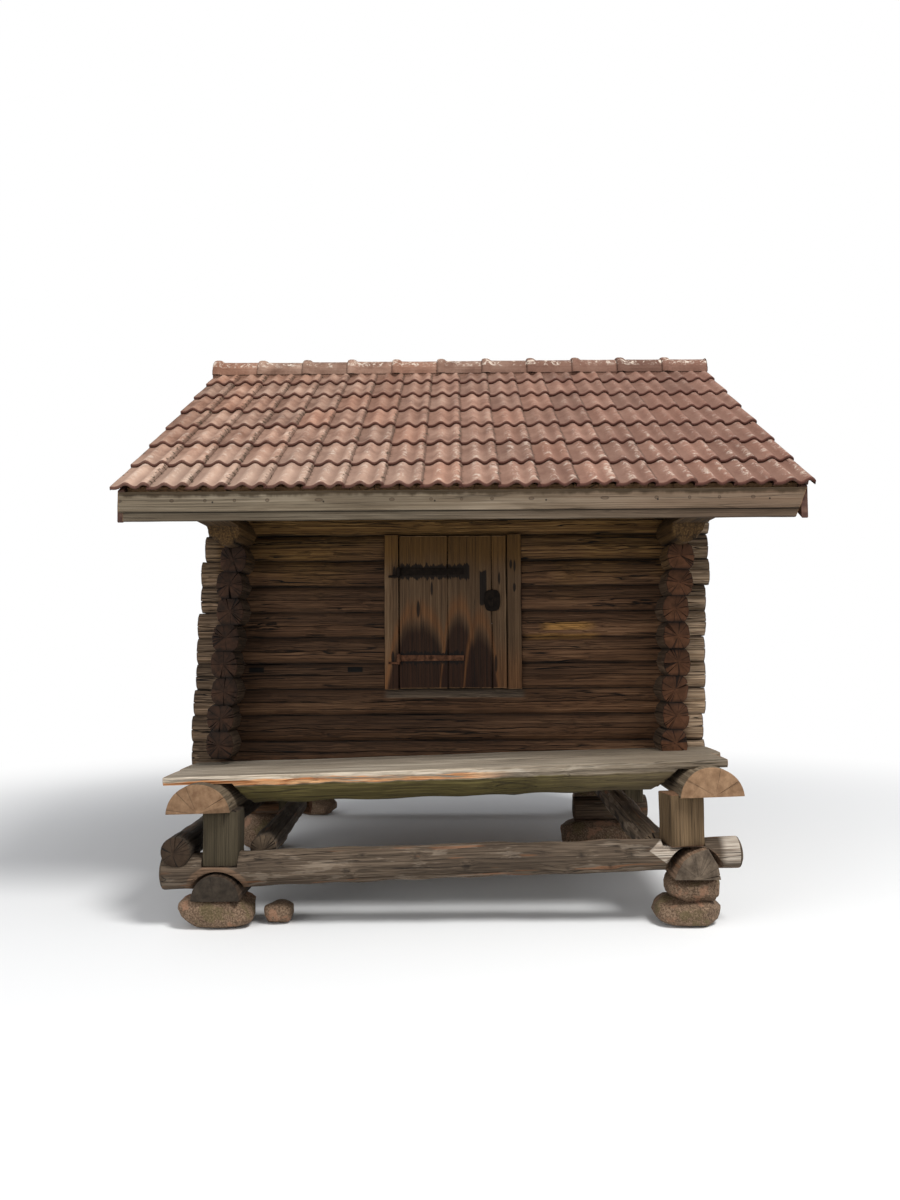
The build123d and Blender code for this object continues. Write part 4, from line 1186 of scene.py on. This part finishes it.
def plank_outline(half, depth, arc_steps=12):
    """Half log with a flat top, its lower side rounder than a circle."""
    shoulder, ease = -0.036, 0.006
    outline = [
        (half - ease, shoulder), (half, -0.030), (half, -0.005), (half - 0.005, 0), (-half + 0.005, 0),
        (-half, -0.005), (-half, -0.030), (-half + ease, shoulder),
    ]
    for step in range(arc_steps - 1, 0, -1):
        angle = math.pi * step / arc_steps
        low = shoulder - (depth + shoulder) * math.sin(angle) ** 0.75
        outline.append(((half - ease) * math.cos(angle), low))
    return faceted(outline, 0.014)


def porch_planks():
    """Two half logs, thinned where they lie over the bearers."""
    rng = random.Random(31)
    left_edge = bearer_places["left"][0] + bearer_width / 2 - bearer_hidden
    right_edge = bearer_places["right"][0] - bearer_width / 2 + bearer_hidden
    seat_depth, left_rise, right_rise = 0.041, 1.3, 1.0
    for name, depth in (("front", 0.165), ("rear", 0.195)):
        low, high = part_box("porch_plank_" + name)
        middle, half = (low.y + high.y) / 2, (high.y - low.y) / 2

        def seat(along, across_by, over_by, dark):
            x = low.x + along
            left = seat_depth + left_rise * np.maximum(x - left_edge, 0)
            right = seat_depth + right_rise * np.maximum(right_edge - x, 0)
            return across_by, np.clip(over_by, -np.minimum(left, right), 0.001), dark

        knots = [(rng.uniform(0.4, 2.6), rng.uniform(0.6, 0.9), 0.04, 0.006) for _ in range(9)]
        shell = Shell(f"porch_plank_{name}_hewn", plank_wood, bearer_end)
        start, end = ((x, middle, porch_top_z + floor_rise * x) for x in (low.x, high.x))
        log(
            shell, start, end, plank_outline(half, depth), rng, step=0.025, bend=0.002, rough=0.0055,
            tint=0.55, shape=seat, knots=knots, checks=[(0.32, *fine_check), (0.26, 0.006, 0.002, None)],
            stations=(left_edge - low.x, right_edge - low.x),
        )
        shell.build("building", "grey_wood", "porch_plank_" + name)


def bearers():
    """Half logs with round tops, hewn flat behind the front edge of the porch."""
    rng = random.Random(32)
    porch_edge = -2.022
    for name, (x, bottom, tone) in bearer_places.items():
        low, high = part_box("bearer_" + name)

        def seat(along, across_by, over_by, dark):
            flat = np.where(low.y + along < porch_edge, 1.0, bearer_flat)
            return across_by, np.minimum(over_by, flat), dark

        shell = Shell(f"bearer_{name}_hewn", bearer_wood, bearer_end)
        log(
            shell, (x, low.y, bottom), (x, high.y, bottom), dome(bearer_width, bearer_height), rng,
            rough=0.002, bend=0.002, step=0.04, tint=tone - 0.05, end_tint=tone, shape=seat,
            up=(-floor_rise, 0, 1), checks=[(0.56, 0.010, 0.002, 0.06)], crown=0.006,
            stations=(porch_edge - low.y, porch_edge - low.y + 0.01),
        )
        shell.build("building", "grey_wood", "bearer_" + name)


# Front posts: foot, name of the bearer above, tint and turn in degrees
# The left post's tone is dark and the right one's bright: painted shade and painted sunlight
front_posts = {-1: (0.313, "left", (0.10, 0.0, 0), 0.0), 1: (0.405, "right", (0.74, 0.12, 0), 14.0)}


def posts():
    """Hewn posts, the front right one turned as it stands in the photograph."""
    rng = random.Random(33)
    settings = dict(step=0.03, bend=0.001, rough=0.002)
    shell = Shell("posts_front_hewn", post_wood, ground_end)
    for sign, (foot, name, tint, turn) in front_posts.items():
        low, high = solid_box("posts_front", sign)
        x, y = (low.x + high.x) / 2, (low.y + high.y) / 2
        top = bearer_places[name][1] + 0.006
        turn = math.radians(turn)
        log(
            shell, (x, y, foot), (x, y, top), box_outline(0.182, 0.160, 0.006, 0.016), rng, tint=tint,
            up=(-math.sin(turn), math.cos(turn), 0),
            checks=[(0.60, *fine_check), (0.68, 0.006, 0.002, None)], **settings,
        )
    shell.build("building", "ground_log_wood", "posts_front")
    for name in ("middle", "back"):
        shell = Shell(f"posts_{name}_hewn", post_wood, ground_end)
        for sign in (-1, 1):
            low, high = solid_box("posts_" + name, sign)
            x, y = (low.x + high.x) / 2, (low.y + high.y) / 2
            outline = box_outline(high.x - low.x - 0.004, high.y - low.y - 0.004, 0.008)
            log(shell, (x, y, low.z), (x, y, high.z), outline, rng, tint=0.4, up=(0, 1, 0), **settings)
        shell.build("building", "ground_log_wood", "posts_" + name)


# Sleepers as place in x, underside, width, height and tone
sleeper_places = {-1: (-1.2715, 0.150, 0.250, 0.126, -0.14), 1: (1.1855, 0.2485, 0.235, 0.152, 0.72)}
saddle_bevel = 0.034
ground_radius = 0.086


def ground_level(x):
    """Height of the middle of the front ground log, which rises to the right."""
    return 0.3222 + 0.0297 * x


def front_ground_log():
    """Round log let over the sleepers, hewn beside them, with seats for the posts."""
    rng = random.Random(34)
    low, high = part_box("ground_log_front")
    left, right = low.x + 0.002, high.x - 0.002
    y = (low.y + high.y) / 2
    seats = {sign: solid_box("posts_front", sign) for sign in sleeper_places}

    def saddle(along, across_by, over_by, dark):
        x = left + along
        for sign, (middle, bottom, width, height, _) in sleeper_places.items():
            bevel = saddle_bevel * np.clip(-across_by / ground_radius, 0, 1)
            top = bottom + dome_height(x - middle, width + 2 * bevel, height + bevel / 2)
            under = top - ground_level(x)
            # Painted shade on the faces cut for the saddles, where the log sits on the sleepers
            dark = np.where(under > over_by, 0.15, dark)
            over_by = np.maximum(over_by, under)
            seated = (x > seats[sign][0].x) & (x < seats[sign][1].x)
            over_by = np.where(seated, np.minimum(over_by, front_posts[sign][0] - ground_level(x)), over_by)
        return across_by, over_by, dark

    edges = []
    for sign, (middle, _, width, _, _) in sleeper_places.items():
        edges += [middle + way * (width / 2 + more) for way in (-1, 1) for more in (0, 0.03, saddle_bevel)]
        edges += [corner.x + way * 0.001 for corner in seats[sign] for way in (-1, 1)]
    knot_ranges = ((0.3, 2.7), (0.36, 0.62), (0.016, 0.030), (0.003, 0.008))
    knots = [[rng.uniform(*limits) for limits in knot_ranges] for _ in range(15)]
    shell = Shell("ground_log_front_round", ground_wood, ground_end)
    start, end = ((x, y, ground_level(x)) for x in (left, right))
    log(
        shell, start, end, round_outline(ground_radius, 64), rng, rough=0.004, step=0.018, taper=-0.19,
        tint=0.52, end_tint=0.75, knots=knots, checks=[(0.60, *fine_check), (0.1, 0.01, 0.002, None)],
        crown=0.018, shape=saddle, stations=[edge - left for edge in edges],
    )
    shell.build("building", "ground_log_wood", "ground_log_front", sharp=40)


def ground_logs():
    """The front log, two stubs in the middle and the back log."""
    front_ground_log()
    rng = random.Random(38)
    settings = dict(step=0.03, crown=0.006, knots=[(0.2, 0.7, 0.03, 0.004)])
    left_end, right_start = -1.100, 0.805
    low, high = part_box("ground_log_middle")
    y = (low.y + high.y) / 2
    shell = Shell("ground_logs_middle_round", ground_wood, ground_end)
    for start, end, radius, points, tint in (
        ((low.x, y, 0.300), (left_end, y, 0.306), 0.062, 40, (0.42, 0.3, 0)),
        ((right_start, y, 0.272), (high.x, y, 0.284), 0.084, 44, (0.30, 0.05, 0)),
    ):
        log(shell, start, end, round_outline(radius, points), rng, tint=tint, **settings)
    shell.build("building", "ground_log_wood", "ground_log_middle")
    low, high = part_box("ground_log_back")
    y, inset = (low.y + high.y) / 2, 0.096
    shell = Shell("ground_log_back_round", ground_wood, ground_end)
    start, end = (low.x + 0.004, y, low.z + inset), (high.x - 0.004, y, high.z - inset)
    log(shell, start, end, round_outline(0.093, 48), rng, tint=0.4, **settings)
    shell.build("building", "ground_log_wood", "ground_log_back")


def tie_logs():
    """Logs that lie across the ground logs, with their front ends by the posts."""
    rng = random.Random(39)
    outer_low, outer_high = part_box("tie_log_outer")
    outer_x, outer_z = -1.482, 0.388
    front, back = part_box("tie_logs_inner")[0].y, outer_high.y
    settings = dict(step=0.03, bend=0.004, crown=0.014)
    shell = Shell("tie_log_outer_round", ground_wood, ground_end)
    log(
        shell, (outer_x, outer_low.y, outer_z), (outer_x, back, outer_z), round_outline(0.077, 48), rng,
        tint=0.05, end_tint=(-0.06, 0.05, 0), checks=[(0.25, 0.012, 0.003, 0.10), (0.4, *fine_check)],
        **settings,
    )
    shell.build("building", "ground_log_wood", "tie_log_outer")

    def bark(along, across_by, over_by, dark):
        """Dark bark left on the lower side that faces the middle."""
        patchy = np.sin(9 * along) + np.sin(23 * along) > 0.1
        barked = (across_by > 0.02) & (over_by < 0.020) & patchy
        return across_by, over_by, np.where(barked, 0.72, dark)

    shell = Shell("tie_logs_inner_round", ground_wood, ground_end)
    log(
        shell, (-1.065, front, 0.372), (-1.190, back, 0.322), round_outline(0.066, 44), rng, taper=-0.1,
        tint=0.40, end_tint=0.7, checks=[(0.4, *fine_check)], **settings,
    )
    # The right log's high tone is painted sunlight
    log(
        shell, (1.022, front, 0.372), (1.048, back, 0.402), round_outline(0.079, 48), rng, tint=1.6,
        shape=bark, checks=[(0.3, *fine_check)], **settings,
    )
    shell.build("building", "ground_log_wood", "tie_logs_inner")


# Right sleeper across its width: place as a share of the width, height over its underside
split_dome = (
    (0.5, 0), (0.42, 0.045), (0.30, 0.092), (0.12, 0.126),
    (-0.10, 0.146), (-0.24, 0.152), (-0.44, 0.070), (-0.5, 0),
)


def sleepers():
    """Half logs under the ends of the front ground log, the right one split uneven."""
    rng = random.Random(35)
    shell = Shell("sleepers_front_hewn", ground_wood, sleeper_end)
    low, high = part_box("sleepers_front")
    for sign, (x, bottom, width, height, tone) in sleeper_places.items():
        outline, checks = dome(width, height), ()
        if sign > 0:
            outline = faceted([(share * width, rise) for share, rise in split_dome], 0.012)
            checks = [(0.62, 0.016, 0.003, 0.08)]
        log(
            shell, (x, low.y, bottom), (x, high.y, bottom), outline, rng, rough=0.002, bend=0.0, step=0.03,
            tint=tone, crown=0.005, checks=checks,
        )
    shell.build("building", "ground_log_wood", "sleepers_front", sharp=28)


def rock(shell, centre, size, rng, rows=30, columns=48, facets=12):
    """Field stone: a rounded block with flat facets and small pits."""
    waves = []
    for _ in range(9):
        way = np.array([rng.gauss(0, 1) for _ in range(3)])
        waves.append((way * rng.uniform(1.0, 3.0), rng.random() * 6.3))
    up = np.linspace(-math.pi / 2, math.pi / 2, rows)[:, None]
    around = (np.arange(columns) / columns * 2 * math.pi)[None, :]
    ring, height = rounded(np.cos(up), 0.5), rounded(np.sin(up), 0.5)
    unit = np.stack([
        ring * rounded(np.cos(around), 0.5),
        ring * rounded(np.sin(around), 0.5),
        height * np.ones_like(around),
    ], -1)
    for _ in range(facets):
        way = np.array([rng.gauss(0, 1), rng.gauss(0, 1), rng.gauss(0, 0.6)])
        way /= np.linalg.norm(way)
        over = np.maximum(unit @ way - rng.uniform(0.92, 1.12), 0)
        unit = unit - 0.9 * over[..., None] * way
    unit = unit / np.abs(unit).max((0, 1))
    swell = sum(np.sin(unit @ wave + phase) for wave, phase in waves) / 3
    fine = sum(np.sin(unit @ (wave * 6) + phase * 3) for wave, phase in waves) / 3
    unit = np.clip(unit * (0.97 + 0.030 * swell + 0.010 * fine)[..., None], -1, 1)
    points = np.array(centre) + unit * np.array(size) / 2
    shell.add(points, grid_faces(rows, columns).tolist(), points, (0.5, 0, 0))


# Stones as middle and size
front_stones = (
    ((-1.286, -1.985, 0.079), (0.405, 0.320, 0.158)),
    ((1.165, -1.985, 0.065), (0.350, 0.320, 0.130)),
    ((1.190, -1.985, 0.182), (0.270, 0.280, 0.140)),
    ((-0.975, -1.965, 0.052), (0.150, 0.170, 0.104)),
)
middle_stones = (
    ((-1.440, -0.12, 0.125), (0.340, 0.330, 0.250)),
    ((0.960, -0.12, 0.098), (0.500, 0.330, 0.196)),
    ((1.180, -0.12, 0.100), (0.200, 0.240, 0.200)),
)


def stones():
    rng = random.Random(36)
    back_boxes = [solid_box("stones_back", sign) for sign in (-1, 1)]
    back_stones = [((low + high) / 2, high - low) for low, high in back_boxes]
    for name, places in (("front", front_stones), ("middle", middle_stones), ("back", back_stones)):
        shell = Shell(f"stones_{name}_rough", granite)
        for centre, size in places:
            rock(shell, centre, size, rng)
        shell.build("building", "field_stone", "stones_" + name)


def floor_boards():
    rng = random.Random(37)
    low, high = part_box("floor_boards")
    shell = Shell("floor_boards_laid", pale_wood, pale_end)
    count, thick, gap = 13, 0.030, 0.003
    width = (high.y - low.y) / count
    left_z = low.z + 0.017
    right_z = left_z + floor_rise * (high.x - low.x)
    for number in range(count):
        y = low.y + (number + 0.5) * width
        tone = rng.uniform(0.4, 0.6)
        board(shell, (low.x, y, left_z), (high.x, y, right_z), width - gap, thick, rng, tint=tone, step=0.3)
    shell.build("building", "pale_wood", "floor_boards")


# Door

# Straps as height, width and tint
straps = ((1.372, 0.034, (0.70, 0.9, 0)), (1.892, 0.042, (-0.20, 0.0, 0)))
iron_plain = dict(rough=0, bend=0)


def door_frame():
    """Deep jambs, with stops behind the leaf."""
    rng = random.Random(40)
    low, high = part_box("door_jambs")
    leaf_low, leaf_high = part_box("door_leaf")
    shell = Shell("door_jambs_hewn", door_wood, pale_end)
    gap, depth, stop_width, stop_depth = 0.007, 0.156, 0.027, 0.10
    y, stop_y = low.y + depth / 2, leaf_high.y + 0.034
    for inner, outer, way, tone in (
        (leaf_low.x - gap, low.x, 1, 0.74), (leaf_high.x + gap, high.x, -1, 0.50),
    ):
        x, stop_x = (inner + outer) / 2, inner + way * stop_width / 2
        width = abs(inner - outer)
        upright(shell, x, y, low.z, high.z, width, depth, rng, tint=tone, step=0.04, rough=0.002)
        upright(shell, stop_x, stop_y, low.z, high.z, stop_width, stop_depth, rng, tint=0.35)
    shell.build("building", "door_wood", "door_jambs")


def door_leaf():
    """Three upright boards, with two ledges nailed across their backs."""
    rng = random.Random(41)
    low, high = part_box("door_leaf")
    shell = Shell("door_leaf_boards", door_wood, pale_end)
    gap, thick, ledge_thick, ledge_width, ledge_inset = 0.004, 0.032, 0.026, 0.095, 0.042
    edges = (low.x, -0.083, 0.1825, high.x)
    for left, right, tone, back in zip(edges, edges[1:], (0.50, 0.44, 0.56), (0.0, 0.0015, 0.003)):
        x, y = (left + right) / 2, low.y + 0.017 + back
        width = right - left - gap
        upright(shell, x, y, low.z, high.z, width, thick, rng, tint=tone, step=0.03, rough=0.0018)
    for z, _, _ in straps:
        y = high.y - ledge_thick / 2
        start, end = (low.x + ledge_inset, y, z), (high.x - ledge_inset, y, z)
        board(shell, start, end, ledge_thick, ledge_width, rng)
    shell.build("door", "door_wood", "door_leaf")


def strap_hinge(leaf_shell, frame_shell, hinge, face, z, width, tint, rng):
    """Strap with three rivets, rolled round a pin that stands on an arm in the jamb."""
    thick, rivet_radius = 0.005, 0.008
    far_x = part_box("door_straps")[1].x
    start, end = (hinge.x, face - 0.003, z), (far_x, face - 0.003, z)
    board(leaf_shell, start, end, thick, width, rng, tint=tint, step=0.03, taper=-0.2, rough=0.0006)
    for share in (0.14, 0.5, 0.86):
        x = hinge.x + share * (far_x - hinge.x)
        start, end = (x, face - 0.009, z), (x, face - 0.004, z)
        outline = round_outline(rivet_radius, 12)
        log(leaf_shell, start, end, outline, rng, edge=0.001, crown=0, tint=tint, **iron_plain)
    for shell, radius, foot, top in (
        (leaf_shell, 0.013, z - 0.021, z + 0.021), (frame_shell, 0.007, z - 0.036, z + 0.027),
    ):
        log(
            shell, (hinge.x, hinge.y, foot), (hinge.x, hinge.y, top), round_outline(radius, 20), rng,
            up=(0, 1, 0), edge=0.002, crown=0.0, step=0.02, tint=tint, **iron_plain,
        )
    arm_y, arm_z = face - 0.008, z - 0.0285
    start, end = (hinge.x - 0.062, arm_y, arm_z), (hinge.x + 0.006, arm_y, arm_z)
    board(frame_shell, start, end, 0.014, 0.013, rng, tint=tint, step=0.02, rough=0.0004)


def lock_plate(face, rng):
    """Plate between a rectangle and an oval, with a thin slab of darker iron standing for the shade of the
    keyhole.
    """
    plate = Shell("door_lock_plate_forged", iron, iron)
    x, z, width, height = 0.184, 1.716, 0.094, 0.128
    outline = rounded(round_outline(1.0, 40), 0.62) * (width / 2, height / 2)
    start, end = (x, face - 0.006, z), (x, face, z)
    log(plate, start, end, outline, rng, rough=0.0005, bend=0, edge=0.001, crown=0.001, tint=-0.25)
    hole_z = z - 0.012
    start, end = (x, face - 0.0075, hole_z), (x, face - 0.004, hole_z)
    hole = box_outline(0.006, 0.040, 0.002)
    # Painted shade: the keyhole is a thin slab of darker iron, not a hole
    log(plate, start, end, hole, rng, edge=0.0005, tint=(0.1, 0, 0.9), **iron_plain)
    plate.build("door", "rusted_iron", "door_lock_plate")


def ironwork():
    """Strap hinges on their pins, and the lock plate."""
    rng = random.Random(42)
    hinge = Vector(frame["joints"][0]["pos_m"])
    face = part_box("door_leaf")[0].y
    leaf_shell = Shell("door_straps_forged", iron, iron)
    frame_shell = Shell("door_pintles_forged", iron, iron)
    for z, width, tint in straps:
        strap_hinge(leaf_shell, frame_shell, hinge, face, z, width, tint, rng)
    leaf_shell.build("door", "rusted_iron", "door_straps")
    frame_shell.build("building", "rusted_iron", "door_pintles")
    lock_plate(face, rng)


# Studio

def stage():
    """Pale floor that keeps the shadow near the object and turns white further off."""
    size = 80.0
    corners = [(-size, -size, 0), (size, -size, 0), (size, size, 0), (-size, size, 0)]
    floor_mesh = bpy.data.meshes.new("floor")
    floor_mesh.from_pydata(corners, [], [(0, 1, 2, 3)])
    floor = bpy.data.objects.new("floor", floor_mesh)
    bpy.context.scene.collection.objects.link(floor)
    s = Shader("pale floor", 0.95)
    s.surface.inputs["Base Color"].default_value = (0.80, 0.80, 0.79, 1)
    floor_mesh.materials.append(s.material)
    reach = s.length(*s.parts(s.place()))
    s.whiten(s.surface, s.steps(reach, 2.6, 7.5), "Material Output")


def sky():
    """Soft grey-blue light, white where the camera sees it."""
    world = bpy.data.worlds.new("studio")
    bpy.context.scene.world = world
    graph = Graph(world)
    light = graph.tree.nodes["Background"]
    light.inputs["Color"].default_value = (0.93, 0.95, 1.0, 1)
    light.inputs["Strength"].default_value = 0.55
    graph.whiten(light, 1.0, "World Output")


def lamp(name, place, target, size, power):
    data = bpy.data.lights.new(name, "AREA")
    data.shape = "DISK"
    data.size = size
    data.energy = power
    made = bpy.data.objects.new(name, data)
    made.location = place
    made.rotation_euler = (Vector(target) - Vector(place)).to_track_quat("-Z", "Y").to_euler()
    bpy.context.scene.collection.objects.link(made)


def lamps():
    lamp("key", (4.6, -6.4, 10.5), (0, -0.6, 1.6), 4.0, 1300)
    lamp("fill", (-6.5, -8.0, 3.5), (0, -0.5, 1.4), 6.0, 260)


def camera():
    """Stands where the photograph was taken, five metres in front of the porch at eye height."""
    place = (-0.022, -6.969, 1.42)
    yaw, tilt, roll = math.radians(-0.49), math.atan(50 / 936), math.radians(-0.34)
    data = bpy.data.cameras.new("camera")
    data.lens = 28.08
    data.sensor_width = 36.0
    data.clip_end = 200
    made = bpy.data.objects.new("camera", data)
    ahead = Vector((math.sin(yaw) * math.cos(tilt), math.cos(yaw) * math.cos(tilt), math.sin(tilt)))
    level = Vector((math.cos(yaw), -math.sin(yaw), 0))
    above = level.cross(ahead)
    right = math.cos(roll) * level + math.sin(roll) * above
    upright_way = -math.sin(roll) * level + math.cos(roll) * above
    turn = Matrix((right, upright_way, -ahead)).transposed().to_4x4()
    made.matrix_world = Matrix.Translation(place) @ turn
    bpy.context.scene.collection.objects.link(made)
    bpy.context.scene.camera = made


for make in (
    front_logs, back_logs, side_logs, roof_tiles, ridge_tiles, roof_boards, fascias, barge_boards, purlins,
    porch_planks, bearers, posts, ground_logs, tie_logs, sleepers, stones, floor_boards,
    door_frame, door_leaf, ironwork, stage, sky, camera, lamps,
):
    make()
bpy.context.scene.view_settings.view_transform = "Standard"
